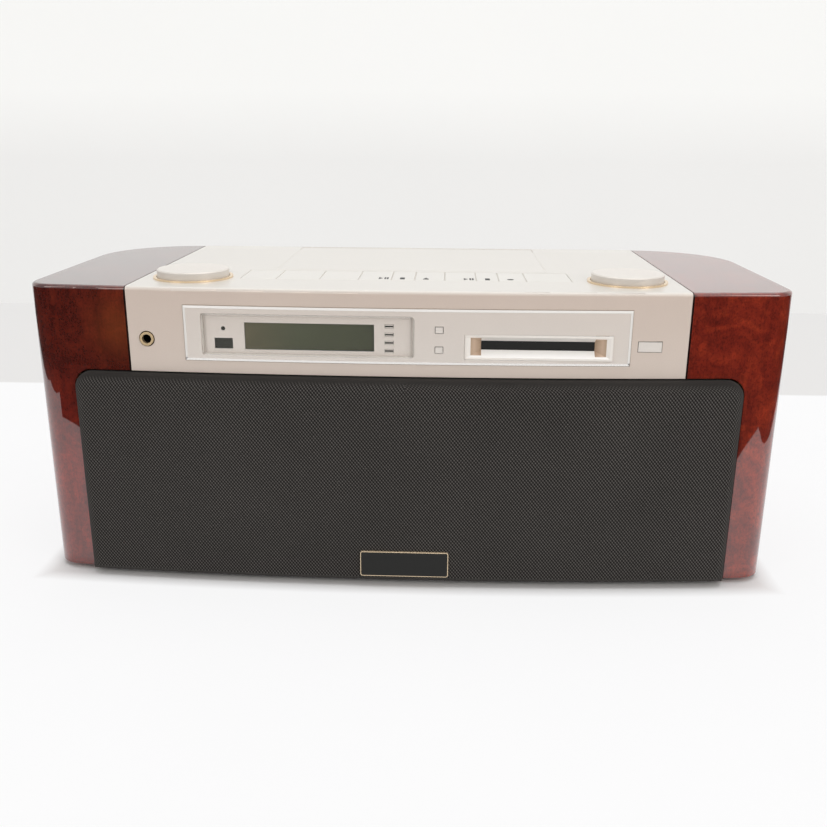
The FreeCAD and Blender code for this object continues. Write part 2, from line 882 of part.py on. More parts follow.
keep("baffle_board", make_baffle())
keep("base_plate", make_base())
uprights = [box(sides, ("baffle_back_y", "rear_y - rear_wall"), ("base_top", "shelf_bottom"))
            for sides in (("upright_x", "upright_x + board_wall"),
                          ("-upright_x - board_wall", "-upright_x"))]
shelf = box(("-cover_half", "cover_half"), ("grille_back_y + fit", "rear_y - rear_wall"),
            ("shelf_bottom", "face_bottom"))
keep("inner_boards", joined(*uprights, shelf, name="inner_boards"))
keep("rubber_feet", joined(*[
    cylinder("foot_radius", "foot_height", (x, y, "0"))
    for x in ("-half_width + foot_inset", "half_width - foot_inset")
    for y in ("baffle_y + foot_front", "rear_y - foot_back")], name="rubber_feet"))


# Loudspeakers

def facing_front(solid, x, y, z):
    """Turns a body made about its own Z axis so that the axis points forwards, and places it."""
    solid.Placement = Placement(Vector(), Rotation(Vector(1, 0, 0), 90))
    return set_at(solid, (x, y, z))


def make_basket():
    """A flanged ring in the baffle's hole, four sloping arms and a ring on the magnet.
    Heights run forwards from the baffle's front face."""
    basket = new_body("basket")
    hole, rim, back = "(speaker_hole - fit)", "(cone_radius + surround_width)", "-speaker_depth"
    lip = "(-board_wall - basket_wall)"
    revolve(basket, [(f"{rim} - basket_lip", lip), (hole, lip), (hole, "0"), ("speaker_radius", "0"),
                     ("speaker_radius", "basket_wall"), (rim, "basket_wall"), (rim, "-board_wall"),
                     (f"{rim} - basket_lip", "-board_wall")])
    pad(basket, "XY", back, f"{back} + basket_wall",
        ("0", "0", "magnet_radius"), ("0", "0", "magnet_hole"))
    arm = pad(basket, "XZ", "-arm_width/2", "arm_width/2",
              [(f"{rim} - arm_wall", f"{lip} + basket_wall/2"), (rim, f"{lip} + basket_wall/2"),
               ("magnet_radius - 1", back), ("magnet_radius - 1 - arm_wall", back)])
    spin = basket.newObject("PartDesign::PolarPattern", "arms")
    spin.Originals = [arm]
    spin.Axis = ([line for line in basket.Origin.OriginFeatures if line.Role == "Z_Axis"][0], [""])
    spin.Angle = 360
    spin.Occurrences = 4
    basket.Tip = spin
    return basket


def make_cone():
    """A paper cone with its dust cap and coil former, closed enough to be one rigid piece."""
    cone = new_body("cone")
    front, bottom = "(basket_wall - 1)", "(cone_lift - speaker_depth + basket_wall)"
    inside, outside = "(coil_radius - coil_wall)", "coil_radius"
    former_end = "(-speaker_depth - coil_reach - cone_travel)"
    cap = f"({bottom} + 2*cone_wall)"
    revolve(cone, [("0", f"{bottom} + cone_wall"), (inside, f"{bottom} + cone_wall"), (inside, former_end),
                   (outside, former_end), (outside, bottom), ("cone_radius - fit", front),
                   ("cone_radius - fit - cone_wall", front), (outside, cap), ("0", f"{cap} + cap_rise")])
    return cone


def make_magnet():
    """Front plate, ring magnet and back plate with the pole piece that fills the coil."""
    magnet = new_body("magnet")
    front, back = "-speaker_depth", "(-speaker_depth - magnet_height)"
    gap_out, gap_in = "(coil_radius + fit)", "(coil_radius - coil_wall - fit)"
    floor = f"({back} + magnet_plate)"
    revolve(magnet, [("0", back), ("magnet_radius", back), ("magnet_radius", front), (gap_out, front),
                     (gap_out, floor), (gap_in, floor), (gap_in, front), ("0", front)])
    return magnet


def make_surround():
    """The rubber half roll between the basket's rim and the cone."""
    surround = new_body("surround")
    rim, low = "(cone_radius + surround_width - fit/2)", "(basket_wall - 1)"
    revolve(surround, [("cone_radius", low), (rim, low), (rim, f"{low} + 1"),
                       ("cone_radius + surround_width/2", f"{low} + surround_height"),
                       ("cone_radius", f"{low} + 1")])
    return surround


def pair_of(make, name):
    """The same speaker piece on both sides."""
    right = facing_front(make(), "speaker_x", "baffle_y", "speaker_z")
    return joined(right, mirrored(right, name + "_left"), name=name)


keep("speaker_baskets", joined(pair_of(make_basket, "baskets"), pair_of(make_surround, "surrounds"),
                               name="speaker_frames"))
keep("speaker_magnets", pair_of(make_magnet, "magnets"))
right_cone = keep("right_cone", facing_front(make_cone(), "speaker_x", "baffle_y", "speaker_z"))
keep("left_cone", mirrored(right_cone, "left_cone"))


# Fall front: control panel, display and lamps

def make_sub_panel():
    """The raised panel: a bowed plate that laps the cover's opening, with a plug inside it."""
    plate = new_body("sub_panel")
    side_y = face("sub_left", "-sub_proud")
    pad(plate, "XY", drop("sub_bottom"), drop("sub_top"),
        [("-sub_left", face("-sub_left", "-sub_seat"), "-front_bow"), ("-sub_left", side_y),
         ("sub_right", face("sub_right", "-sub_proud"), "front_bow + sub_proud"),
         ("sub_right", face("sub_right", "-sub_seat"))])

    def on_front_outline(edge):
        """Whether an edge bounds the plate's front face."""
        bounds = edge.BoundBox
        if bounds.ZMax - bounds.ZMin > 1:
            return bounds.YMax < number(side_y) + number("sub_proud")/2
        return bounds.XMax - bounds.XMin > 1 and bounds.YMin < number("front_y - sub_proud/2")

    bevel_edges(plate, "sub_bevel", on_front_outline)
    plug_left, plug_right = "sub_lap + fit/2 - sub_left", "sub_right - sub_lap - fit/2"
    pad(plate, "XY", drop("sub_bottom - sub_lap - fit/2"), drop("sub_top + sub_lap + fit/2"),
        [(plug_left, face(plug_left, "sub_plug"), "sub_plug - front_bow"),
         (plug_left, face(plug_left, "-sub_proud/2")),
         (plug_right, face(plug_right, "-sub_proud/2"), "front_bow + sub_proud/2"),
         (plug_right, face(plug_right, "sub_plug"))])
    half_width, half_height = "(small_button_width/2 + moving_gap)", "(small_button_height/2 + moving_gap)"
    buttons = [oblong(f"small_button_x - {half_width}", f"small_button_x + {half_width}",
                      drop(f"{middle} + {half_height}"), drop(f"{middle} - {half_height}"))
               for middle in ("upper_button_drop", "lower_button_drop")]
    pocket(plate, "XZ", "front_y - 3", "front_y + 14",
           oblong("-window_left", "window_right", drop("window_bottom"), drop("window_top"),
                  "window_corner"),
           oblong("mouth_left", "mouth_right", drop("mouth_bottom"), drop("mouth_top")),
           *buttons)
    # The fascia at the bottom of the window's recess, open round the display and the lamps
    low, high = "-window_left - fit", "window_right + fit"
    pad(plate, "XY", drop("window_bottom + fit"), drop("window_top - fit"),
        [(low, face(low, "sub_plug"), "sub_plug - front_bow"), (low, face(low, window_back)),
         (high, face(high, window_back), f"front_bow - {window_back}"), (high, face(high, "sub_plug"))])
    spare = "fascia_gap"
    pocket(plate, "XZ", "front_y - 3", "front_y + 14",
           oblong(f"-lcd_left - {spare}", f"{spare} - lcd_right",
                  drop(f"lcd_bottom + {spare}"), drop(f"lcd_top - {spare}")),
           oblong(f"-receiver_left - {spare}", f"{spare} - receiver_right",
                  drop(f"receiver_bottom + {spare}"), drop(f"receiver_top - {spare}")),
           (lamp_x, drop("lamp_drop"), f"lamp_radius + {spare}"),
           *[oblong(f"-bar_left - {spare}", f"bar_width - bar_left + {spare}",
                    f"{bar_low} - {spare}", f"{bar_high} + {spare}") for bar_low, bar_high in bar_heights])
    return plate


def make_window():
    """The display's clear bowed pane, set back a little in its frame."""
    pane = new_body("window")
    low, high = "fit/2 - window_left", "window_right - fit/2"
    front, back = "(window_recess - sub_proud)", "(window_recess - sub_proud + window_wall)"
    pad(pane, "XY", drop("window_bottom - fit/2"), drop("window_top + fit/2"),
        [(low, face(low, back), f"{back} - front_bow"), (low, face(low, front)),
         (high, face(high, front), f"front_bow - {front}"), (high, face(high, back))])
    round_edges(pane, "window_corner", lambda edge: edge.BoundBox.YMax - edge.BoundBox.YMin > 1.9
                and edge.BoundBox.XMax - edge.BoundBox.XMin < 0.5)
    return pane


window_back = "(window_recess - sub_proud + window_wall + fit)"
lamp_x = "-(receiver_left + receiver_right)/2"
bar_heights = [(drop(f"bar_drop + bar_height/2 + {count}*bar_pitch"),
                drop(f"bar_drop - bar_height/2 + {count}*bar_pitch")) for count in range(4)]
keep("sub_panel", make_sub_panel())
keep("display_window", make_window())
keep("lcd_module", box(("-lcd_left", "-lcd_right"), (face("lcd_left", window_back), "front_board_y"),
                       (drop("lcd_bottom"), drop("lcd_top")), name="lcd"))
lamp_y = face("receiver_left", window_back)
receiver = box(("-receiver_left", "-receiver_right"), (lamp_y, "front_board_y"),
               (drop("receiver_bottom"), drop("receiver_top")))
lamp = cylinder("lamp_radius", f"front_board_y - {lamp_y}", (lamp_x, lamp_y, drop("lamp_drop")), "y")
bar_y = face("bar_left", window_back)
bars = [box(("-bar_left", "bar_width - bar_left"), (bar_y, "front_board_y"), heights)
        for heights in bar_heights]
keep("indicator_lamps", joined(receiver, lamp, *bars, name="lamps"))


# Cartridge slot

def make_mouth():
    """The slot's frame: sloping lips, a chamber in which the flap swings, and its pin holes."""
    block = box(("mouth_left + fit/2", "mouth_right - fit/2"), ("mouth_y", "mouth_y + mouth_depth"),
                (drop("mouth_bottom - fit/2"), drop("mouth_top + fit/2")))
    lips = doc.addObject("Part::Wedge", "lips")
    sides = {
        "Xmin": "mouth_left + mouth_rim", "Xmax": "mouth_right - mouth_rim",
        "X2min": "slot_left", "X2max": "slot_right",
        "Ymin": "mouth_y", "Ymax": "mouth_y + lip_depth",
        "Zmin": drop("mouth_bottom - mouth_rim"), "Zmax": drop("mouth_top + mouth_rim"),
        "Z2min": drop("slot_bottom"), "Z2max": drop("slot_top"),
    }
    lips.Xmax, lips.X2max = 1000, 999
    lips.Zmax, lips.Z2max = 1000, 999
    for side, text in sides.items():
        lips.setExpression(side, bound(text))
    throat = box(("slot_left", "slot_right"), ("mouth_y + 1", "mouth_y + mouth_depth + 1"),
                 (drop("slot_bottom"), drop("slot_top")))
    swing = "(slot_bottom - slot_top + 2*door_pin + 3*moving_gap)"
    chamber = box(("slot_left - 2*moving_gap", "slot_right + 2*moving_gap"),
                  ("mouth_y + lip_depth", f"door_y + {swing}"),
                  (drop("slot_bottom + 2*moving_gap"), drop("slot_top - 2*door_pin - 2*moving_gap")))
    pins = cylinder("door_pin + shaft_gap", "slot_right - slot_left + 2*pin_reach + 2",
                    ("slot_left - pin_reach - 1", "door_y", "door_z"), "x")
    return cut(block, lips, throat, chamber, pins, name="mouth")


def make_door():
    """The flap behind the lips, with a pin at each end. It hangs from its top edge."""
    flap = new_body("flap")
    half = "door_wall/2"
    pad(flap, "YZ", "slot_left - moving_gap", "slot_right + moving_gap",
        [(f"door_y - {half}", "door_z", half), (f"door_y - {half}", drop("slot_bottom + moving_gap")),
         (f"door_y + {half}", drop("slot_bottom + moving_gap")), (f"door_y + {half}", "door_z"),
         ("door_y", f"door_z + {half}", half)])
    for low, high in (("slot_left - pin_reach", "slot_left"), ("slot_right", "slot_right + pin_reach")):
        pad(flap, "YZ", low, high, ("door_y", "door_z", "door_pin"))
    return flap


def make_drive():
    """The cartridge drive: a case round the cartridge's bay, on legs that stand on the shelf."""
    left, right, back = "slot_left - drive_side", "slot_right + drive_side", "drive_y + drive_depth"
    under = drop("slot_bottom + drive_under")
    case = box((left, right), ("drive_y", back), (under, drop("slot_top - drive_over")))
    heights = (drop("slot_bottom"), drop("slot_top"))
    bay = box(("slot_left + bay_side", "slot_right - bay_side"),
              ("drive_y - 1", "drive_y + cartridge_depth + bay_spare"), heights)
    mouth = box(("slot_left", "slot_right"), ("drive_y - 1", "drive_y + lead_in"), heights)
    legs = [box(sides, depths, ("face_bottom", under))
            for sides in ((left, f"{left} + drive_leg"), (f"{right} - drive_leg", right))
            for depths in (("drive_y", "drive_y + drive_leg"), (f"{back} - drive_leg", back))]
    return cut(joined(case, *legs), bay, mouth, name="drive")


keep("md_slot_frame", make_mouth())
keep("md_slot_door", make_door())
keep("md_drive", make_drive())


# Front buttons and headphone jack

def make_button(x, z, half_width, half_height, front, inside, board):
    """A cap through the front, a flange that stops it, and a stem to its switch."""
    cap = new_body("button")
    end = f"{board} - switch_height - plunger_height - button_travel - shaft_gap"
    for low, high, spare in ((front, inside, "0"),
                             (inside, f"{inside} + button_flange_wall", "button_flange")):
        pad(cap, "XZ", low, high,
            oblong(f"{x} - {half_width} - {spare}", f"{x} + {half_width} + {spare}",
                   f"{z} - {half_height} - {spare}", f"{z} + {half_height} + {spare}"))
    pad(cap, "XZ", f"{inside} + button_flange_wall", end, square(x, z, "plunger_width"))
    return cap


def make_small_button(middle):
    """One of the two square buttons in the control panel."""
    x = "small_button_x"
    return make_button(x, drop(middle), "small_button_width/2", "small_button_height/2",
                       face(x, "-sub_proud - button_proud"), face(x, "sub_plug + fit"), "front_board_y")


def make_eject():
    """The wide eject key right of the control panel."""
    x, z = "(eject_left + eject_right)/2", drop("(eject_top + eject_bottom)/2")
    return make_button(x, z, "(eject_right - eject_left)/2", "(eject_bottom - eject_top)/2",
                       face(x, "-button_proud"), face(x, "cover_wall + 2*fit"), "eject_board_y")


def make_phones_jack():
    """Collar in the front wall's hole, with the socket's body behind it on a bracket."""
    x, z = "-phones_x", drop("phones_drop")
    sides = (f"{x} - phones_case/2", f"{x} + phones_case/2")
    wall, back = face("phones_x"), "front_y + phones_length"
    case_front = face("phones_x - phones_case/2", "cover_wall + phones_gap")
    collar = cylinder("phones_nut", "phones_collar", (x, f"{wall} - phones_proud", z), "y")
    bracket = box(sides, (f"{back} - phones_bracket", back), ("face_bottom", z))
    case = box(sides, (case_front, back), (f"{z} - phones_case/2", f"{z} + phones_case/2"))
    bore = cylinder("phones_bore", "phones_hole + 1", (x, f"{wall} - phones_proud - 1", z), "y")
    return cut(joined(collar, bracket, case), bore, name="phones")


keep("display_button", make_small_button("upper_button_drop"))
keep("play_mode_button", make_small_button("lower_button_drop"))
keep("md_eject_button", make_eject())
keep("phones_jack", make_phones_jack())


# Circuit boards with the switches that the keys press

def switch(x, y, z, axis):
    """A push switch and its plunger, on a board whose face it stands on."""
    case_half, plunger_half = "switch_size/2", "plunger_width/2"
    parts = []
    for half, low, high in ((case_half, "0", "switch_height"),
                            (plunger_half, "switch_height", "switch_height + plunger_height")):
        sides = (f"{x} - {half}", f"{x} + {half}")
        depths, heights = (f"{y} - {half}", f"{y} + {half}"), (f"{z} + {low}", f"{z} + {high}")
        if axis == "y":
            depths, heights = (f"{y} - ({high})", f"{y} - ({low})"), (f"{z} - {half}", f"{z} + {half}")
        parts.append(box(sides, depths, heights))
    return parts


def encoder(x):
    """A knob's encoder, its bushing and the bore for the knob's shaft."""
    half, top = "encoder_size/2", "board_z + encoder_height"
    case = box((f"{x} - {half}", f"{x} + {half}"), (f"knob_y - {half}", f"knob_y + {half}"),
               ("board_z", top))
    bushing = cylinder("knob_shaft + bushing_wall", "bushing_height", (x, "knob_y", top))
    bore = cylinder("knob_shaft + shaft_gap", "encoder_height + bushing_height",
                    (x, "knob_y", "board_z + encoder_floor"))
    return cut(joined(case, bushing), bore, name="encoder")


def make_boards():
    """The board under the top, the one behind the display and the small one for eject."""
    eject_x, eject_z = "(eject_left + eject_right)/2", drop("(eject_top + eject_bottom)/2")
    top_board = box(("-board_half", "board_half"), ("key_front - board_front", "key_back + board_back"),
                    ("board_z - circuit_wall", "board_z"))
    front_board = box(("sub_lap - sub_left", "mouth_left - board_side"),
                      ("front_board_y", "front_board_y + circuit_wall"),
                      ("face_bottom", drop("cover_wall + fit")))
    eject_board = box(("eject_left - board_side", "eject_right + board_side"),
                      ("eject_board_y", "eject_board_y + circuit_wall"),
                      ("face_bottom", drop("eject_top - eject_board_over")))
    parts = [top_board, front_board, eject_board]
    for middle in key_middles:
        parts += switch(middle, "(key_front + key_back)/2", "board_z", "z")
    for middle in ("upper_button_drop", "lower_button_drop"):
        parts += switch("small_button_x", "front_board_y", drop(middle), "y")
    parts += switch(eject_x, "eject_board_y", eject_z, "y")
    parts += [encoder("-knob_x"), encoder("knob_x")]
    return joined(*parts, name="boards")


key_edges = ["-keys_left"]
for key in KEYS:
    key_edges.append(f"{key_edges[-1]} + {key}_width")
key_middles = [f"({low} + {high})/2" for low, high in zip(key_edges, key_edges[1:])]
keep("control_boards", make_boards())


# Keys and knobs on the top

def make_key(low, high, middle):
    """A long key, flush with the top, with a flange below the cover and a stem to its switch."""
    front, back = "key_front", "key_back"
    flange_top = drop("cover_wall + fit")
    flange_low = drop("cover_wall + fit + key_flange_wall")
    key = new_body("key")
    pad(key, "YZ", f"{low} + key_gap/2", f"{high} - key_gap/2",
        [(f"{front} - key_flange", flange_low), (f"{back} + key_flange", flange_low),
         (f"{back} + key_flange", flange_top), (back, flange_top), (back, "top_height"),
         (front, "top_height"), (front, flange_top), (f"{front} - key_flange", flange_top)])
    bevel_edges(key, "key_bevel", lambda edge: lies_at(edge, "Z", "top_height"))
    pad(key, "XY", "board_z + switch_height + plunger_height + key_travel + shaft_gap", flange_low,
        square(middle, f"({front} + {back})/2", "key_stem"))
    return key


for key, low, high, middle in zip(KEYS, key_edges, key_edges[1:], key_middles):
    keep(key, make_key(f"({low})", f"({high})", middle))


def make_knob(x):
    """A low round cap over its shaft, hollow below, with a fine bevelled edge."""
    knob = new_body("knob")
    low, high = "top_height + knob_skirt", "top_height + knob_height"
    shaft_end, hollow = "board_z + encoder_floor + fit", "(knob_radius - knob_wall)"
    revolve(knob, [("0", shaft_end), ("knob_shaft", shaft_end), ("knob_shaft", f"{high} - knob_wall"),
                   (hollow, f"{high} - knob_wall"), (hollow, low), ("knob_radius", low),
                   ("knob_radius", f"{high} - knob_bevel"), ("knob_radius - knob_bevel", high),
                   ("0", high)])
    set_at(knob, (x, "knob_y", "0"))
    return knob


def make_knob_rings():
    """The bright ring that stands round each knob."""
    rings = []
    for x in ("-knob_x", "knob_x"):
        inner = "knob_radius + knob_ring_gap"
        outside = cylinder(f"{inner} + knob_ring", "knob_ring_height", (x, "knob_y", "top_height"))
        hole = cylinder(inner, "knob_ring_height + 2", (x, "knob_y", "top_height - 1"))
        rings.append(cut(outside, hole, name="ring"))
    return joined(*rings, name="knob_rings")


keep("left_knob", make_knob("-knob_x"))
keep("right_knob", make_knob("knob_x"))
keep("knob_rings", make_knob_rings())


# Disc lid

def make_lid():
    """The lifting lid: a plate whose back edge rolls round the hinge line, and the ring under it
    that holds the disc clamp."""
    lid = new_body("lid")
    under = drop("lid_wall")
    roll_start = "hinge_y - sqrt(hinge_radius^2 - (hinge_radius - lid_wall)^2)"
    pad(lid, "YZ", "-lid_half_width", "lid_half_width",
        [("lid_front", "top_height"), ("lid_front", under), (roll_start, under),
         ("hinge_y - hinge_radius", "hinge_z", "hinge_radius"),
         ("hinge_y", "hinge_z - hinge_radius", "hinge_radius"),
         ("hinge_y + hinge_radius", "hinge_z", "hinge_radius"), ("hinge_y", "top_height", "hinge_radius")])
    bevel_edges(lid, "lid_bevel",
                lambda edge: lies_at(edge, "Z", "top_height") and lies_at(edge, "Y", "lid_front"))
    pad(lid, "XY", "clamp_top + fit", under, ("0", "well_y", "clamp_radius + holder_edge"))
    pocket(lid, "XY", "clamp_top - 1", under, ("0", "well_y", "clamp_neck + clamp_lip + 1"))
    pad(lid, "XY", "ring_low", "ring_low + ring_wall", ("0", "well_y", "clamp_radius + holder_edge"),
        ("0", "well_y", "clamp_neck + clamp_play"))
    half_leg, half_depth = "holder_leg_width/2", "holder_leg_depth/2"
    legs = [oblong(f"{x} - {half_leg}", f"{x} + {half_leg}",
                   f"well_y - {half_depth}", f"well_y + {half_depth}")
            for x in ("-holder_leg_x", "holder_leg_x")]
    pad(lid, "XY", "ring_low + ring_wall/2", "clamp_top + 2*fit", *legs)
    # Room for the toothed quarter, which seats against the lid's underside
    low_y, high_y = "hinge_y - hinge_radius - 4", "hinge_y + hinge_radius + 1"
    low_z, high_z = "hinge_z - hinge_radius - 1", drop("lid_wall - seat_gap")
    pocket(lid, "YZ", "sector_x - sector_gap", "sector_x + sector_wall + sector_gap",
           [(low_y, low_z), (high_y, low_z), (high_y, high_z), (low_y, high_z)])
    grip = "(hinge_pin_grip + pin_spare - lid_half_width)"
    for low, high in (("-lid_half_width - 1", grip), (f"-{grip}", "lid_half_width + 1")):
        pocket(lid, "YZ", low, high, ("hinge_y", "hinge_z", "hinge_pin + shaft_gap"))
    return lid


def polar(radius, angle):
    """A point of the XY plane from its distance and its angle."""
    return Vector(radius * math.cos(angle), radius * math.sin(angle))


def involute_face(teeth, module, addendum, phase):
    """A spur gear's face in the XY plane, with one tooth centred on the angle phase."""
    pitch_radius = teeth * module / 2
    pressure = math.radians(number("pressure_angle"))
    backlash = number("gear_backlash")
    base_radius = pitch_radius * math.cos(pressure)
    root_radius = pitch_radius - 1.2 * module
    tip_radius = pitch_radius + addendum * module
    half_tooth = (math.pi * module / 2 - backlash) / (2 * pitch_radius)

    def half_angle(radius):
        if radius <= base_radius:
            return half_tooth + math.tan(pressure) - pressure
        slope = math.acos(base_radius / radius)
        return half_tooth + math.tan(pressure) - pressure - (math.tan(slope) - slope)

    steps = [root_radius, max(base_radius, root_radius + 0.1 * module), pitch_radius, tip_radius]
    corners = []
    for tooth in range(teeth):
        middle = phase + 2 * math.pi * tooth / teeth
        angles = [(radius, middle - half_angle(radius)) for radius in steps]
        angles += [(radius, middle + half_angle(radius)) for radius in reversed(steps)]
        corners += [polar(radius, angle) for radius, angle in angles]
    return Part.Face(Part.makePolygon(corners + corners[:1]))


def coded(name, shape, turn=Rotation(), at=("0", "0", "0")):
    """A sub-part whose shape is worked out here, placed by the sheet's values."""
    solid = doc.addObject("Part::Feature", name)
    solid.Shape = shape
    solid.Placement = Placement(Vector(), turn)
    return set_at(solid, at)


# Turn that carries a gear's own X, Y and Z axes to the set's -Y, -Z and +X
GEAR_SIDEWAYS = Rotation(Vector(0, -1, 0), Vector(0, 0, -1), Vector(1, 0, 0), "XYZ")


def make_sector():
    """The toothed quarter under the lid. Its angles run down from the lid's own direction."""
    module, teeth = number("sector_module"), round(number("sector_teeth"))
    mesh = math.radians(number("mesh_angle"))
    pitch_radius = module * teeth / 2
    start = mesh - math.radians(number("sector_lead"))
    end = mesh + math.radians(number("lid_swing + sector_tail"))
    wedge = [Vector()] + [polar(1.3 * pitch_radius, start + (end - start) * step / 3) for step in range(4)]
    gear = involute_face(teeth, module, 0.75, mesh)
    toothed = gear.common(Part.Face(Part.makePolygon(wedge + wedge[:1])))
    hub = Part.Face(Part.Wire(Part.makeCircle(number("hinge_radius - sector_gap/2"))))
    seat = number("lid_wall - hinge_radius")
    reach = pitch_radius - 3 * module
    corners = [Vector(0, seat), Vector(reach, seat),
               Vector(reach, reach * math.tan(start) + 0.5), Vector(0, 0.5)]
    arm = Part.Face(Part.makePolygon(corners + corners[:1]))
    middle = polar(number("sector_window_reach"), mesh + math.radians(number("sector_window_angle")))
    window = Part.Face(Part.Wire(Part.makeCircle(number("sector_window"), middle)))
    thick = Vector(0, 0, number("sector_wall"))
    solid = toothed.extrude(thick).fuse([hub.extrude(thick), arm.extrude(thick)]).removeSplitter()
    corner = Vector(-2 * pitch_radius, seat - pitch_radius, -thick.z)
    above = Part.makeBox(4 * pitch_radius, pitch_radius, 4 * thick.z, corner)
    return coded("sector", solid.cut([window.extrude(thick), above]), GEAR_SIDEWAYS,
                 ("sector_x", "hinge_y", "hinge_z"))


def make_pinion():
    """The small gear that lifts the lid, a gap facing the sector's tooth."""
    teeth = round(number("pinion_teeth"))
    mesh = math.radians(number("mesh_angle"))
    outline = involute_face(teeth, number("sector_module"), 0.9, mesh + math.pi + math.pi / teeth)
    wall = number("sector_wall")
    bore = Part.makeCylinder(number("lid_shaft + shaft_gap"), 3 * wall, Vector(0, 0, -wall))
    return coded("pinion", outline.extrude(Vector(0, 0, wall)).cut(bore), GEAR_SIDEWAYS,
                 ("sector_x", "pinion_y", "pinion_z"))


def make_lid_motor():
    """Gear motor beside the pinion, with its shaft and a bracket up to the deck."""
    start = "(sector_x + sector_wall + lid_motor_gap)"
    can = cylinder("lid_motor_radius", "lid_motor_length", (start, "pinion_y", "pinion_z"), "x")
    shaft = cylinder("lid_shaft", "sector_wall + lid_motor_gap + shaft_proud + 1",
                     ("sector_x - shaft_proud", "pinion_y", "pinion_z"), "x")
    bracket = box((start, f"{start} + bracket_wall"),
                  ("pinion_y - bracket_width/2", "pinion_y + bracket_width/2"),
                  ("pinion_z", drop("2*deck_wall")))
    return joined(can, shaft, bracket, name="lid_motor")


place("clamp_low", "disc_z + disc_wall + clamp_gap")
place("ring_low", "clamp_low + clamp_foot + clamp_lift")
place("clamp_flange_low", "ring_low + ring_wall + fit")
place("clamp_top", "clamp_flange_low + clamp_flange")
place("holder_leg_x", "clamp_neck + clamp_lip + holder_leg_width")
keep("cd_lid", make_lid())
keep("lid_sector_gear", make_sector())
keep("lid_pinion", make_pinion())
keep("lid_motor", make_lid_motor())


def make_hinge_pins():
    """A pin at each end of the lid, held between the deck's rim and the cover."""
    start = "(lid_half_width - hinge_pin_grip)"
    pin = cylinder("hinge_pin", "hinge_pin_grip + deck_flange", (start, "hinge_y", "hinge_z"), "x")
    return joined(pin, mirrored(pin, "other_pin"), name="hinge_pins")


def make_clamp():
    """The disc clamp: a wide foot for the disc, a neck in the lid's ring and a top flange."""
    clamp = new_body("clamp")
    hub, lip = "hub_radius + clamp_hub_gap", "clamp_neck + clamp_lip"
    foot_top, hollow_top = "clamp_low + clamp_foot", "clamp_low + clamp_hollow"
    revolve(clamp, [(hub, "clamp_low"), ("clamp_radius", "clamp_low"), ("clamp_radius", foot_top),
                    ("clamp_neck", foot_top), ("clamp_neck", "clamp_flange_low"),
                    (lip, "clamp_flange_low"), (lip, "clamp_top"), ("0", "clamp_top"), ("0", hollow_top),
                    (hub, hollow_top)])
    return set_at(clamp, ("0", "well_y", "0"))


def make_deck():
    """The tray under the lid: a rim plate, the disc's well, and the holes in its floor."""
    deck = new_body("deck")
    half = "(lid_half_width + deck_flange)"
    floor = drop("well_floor_drop")
    pad(deck, "XY", drop("2*deck_wall"), drop("cover_wall"),
        oblong(f"-{half}", half, "lid_front - deck_front", "hinge_y + deck_back"))
    under = f"{floor} - well_wall"
    pad(deck, "XY", under, drop("2*deck_wall"), ("0", "well_y", "well_radius + well_wall"))
    pocket(deck, "XY", floor, "top_height", ("0", "well_y", "well_radius"))
    pocket(deck, "XY", f"{under} - 1", f"{floor} + 1", ("0", "well_y", "platter_radius + platter_gap"))
    lens_half = "(lens_radius + lens_spare)"
    pocket(deck, "XY", f"{under} - 1", f"{floor} + 1",
           oblong("-pickup_start - pickup_travel - lens_half_space", "platter_gap - platter_radius",
                  f"well_y - {lens_half}", f"well_y + {lens_half}", "lens_corner"))
    # Room for the lid's rolled back edge and for the toothed quarter
    pocket(deck, "XY", drop("2*deck_wall + 1"), "top_height",
           oblong("-lid_half_width - sector_gap", "lid_half_width + sector_gap",
                  "hinge_y - hinge_radius - moving_gap", "hinge_y + hinge_radius + 1"))
    pocket(deck, "XY", drop("2*deck_wall + 1"), "top_height",
           oblong("sector_x - 1", "sector_x + sector_wall + moving_gap",
                  "hinge_y - sector_module*(sector_teeth/2 + 3)", "hinge_y - hinge_radius"))
    # Cradles for the hinge pins
    for low, high in (("-lid_half_width - deck_flange - 1", "-lid_half_width"),
                      ("lid_half_width", "lid_half_width + deck_flange + 1")):
        pocket(deck, "XY", "hinge_z - hinge_pin", "top_height",
               oblong(low, high, "hinge_y - hinge_pin - shaft_gap", "hinge_y + hinge_pin + shaft_gap"))
    return deck


place("lens_half_space", "lens_radius + lens_corner")
place("rod_start", "-pickup_start - pickup_travel - pickup_half_length - rod_spare")
place("rod_end", "-pickup_start + pickup_half_length + rod_stop + rod_block_length")
keep("lid_hinge_pins", make_hinge_pins())
keep("cd_clamp", make_clamp())
keep("cd_deck", make_deck())


# Disc mechanism under the well

def make_turntable():
    """The platter with its centring hub and the spindle that runs down into the motor."""
    table = new_body("table")
    low, end, collar_low = "(disc_z - platter_wall)", "chassis_z - spindle_reach", "hub_collar_low"
    hub_top = "disc_z + hub_height"
    revolve(table, [("0", end), ("spindle_radius", end), ("spindle_radius", collar_low),
                    ("hub_collar", collar_low), ("hub_collar", low), ("platter_radius", low),
                    ("platter_radius", "disc_z"), ("hub_radius", "disc_z"),
                    ("hub_radius", f"{hub_top} - hub_bevel"), ("hub_radius - hub_bevel", hub_top),
                    ("0", hub_top)])
    return set_at(table, ("0", "well_y", "0"))


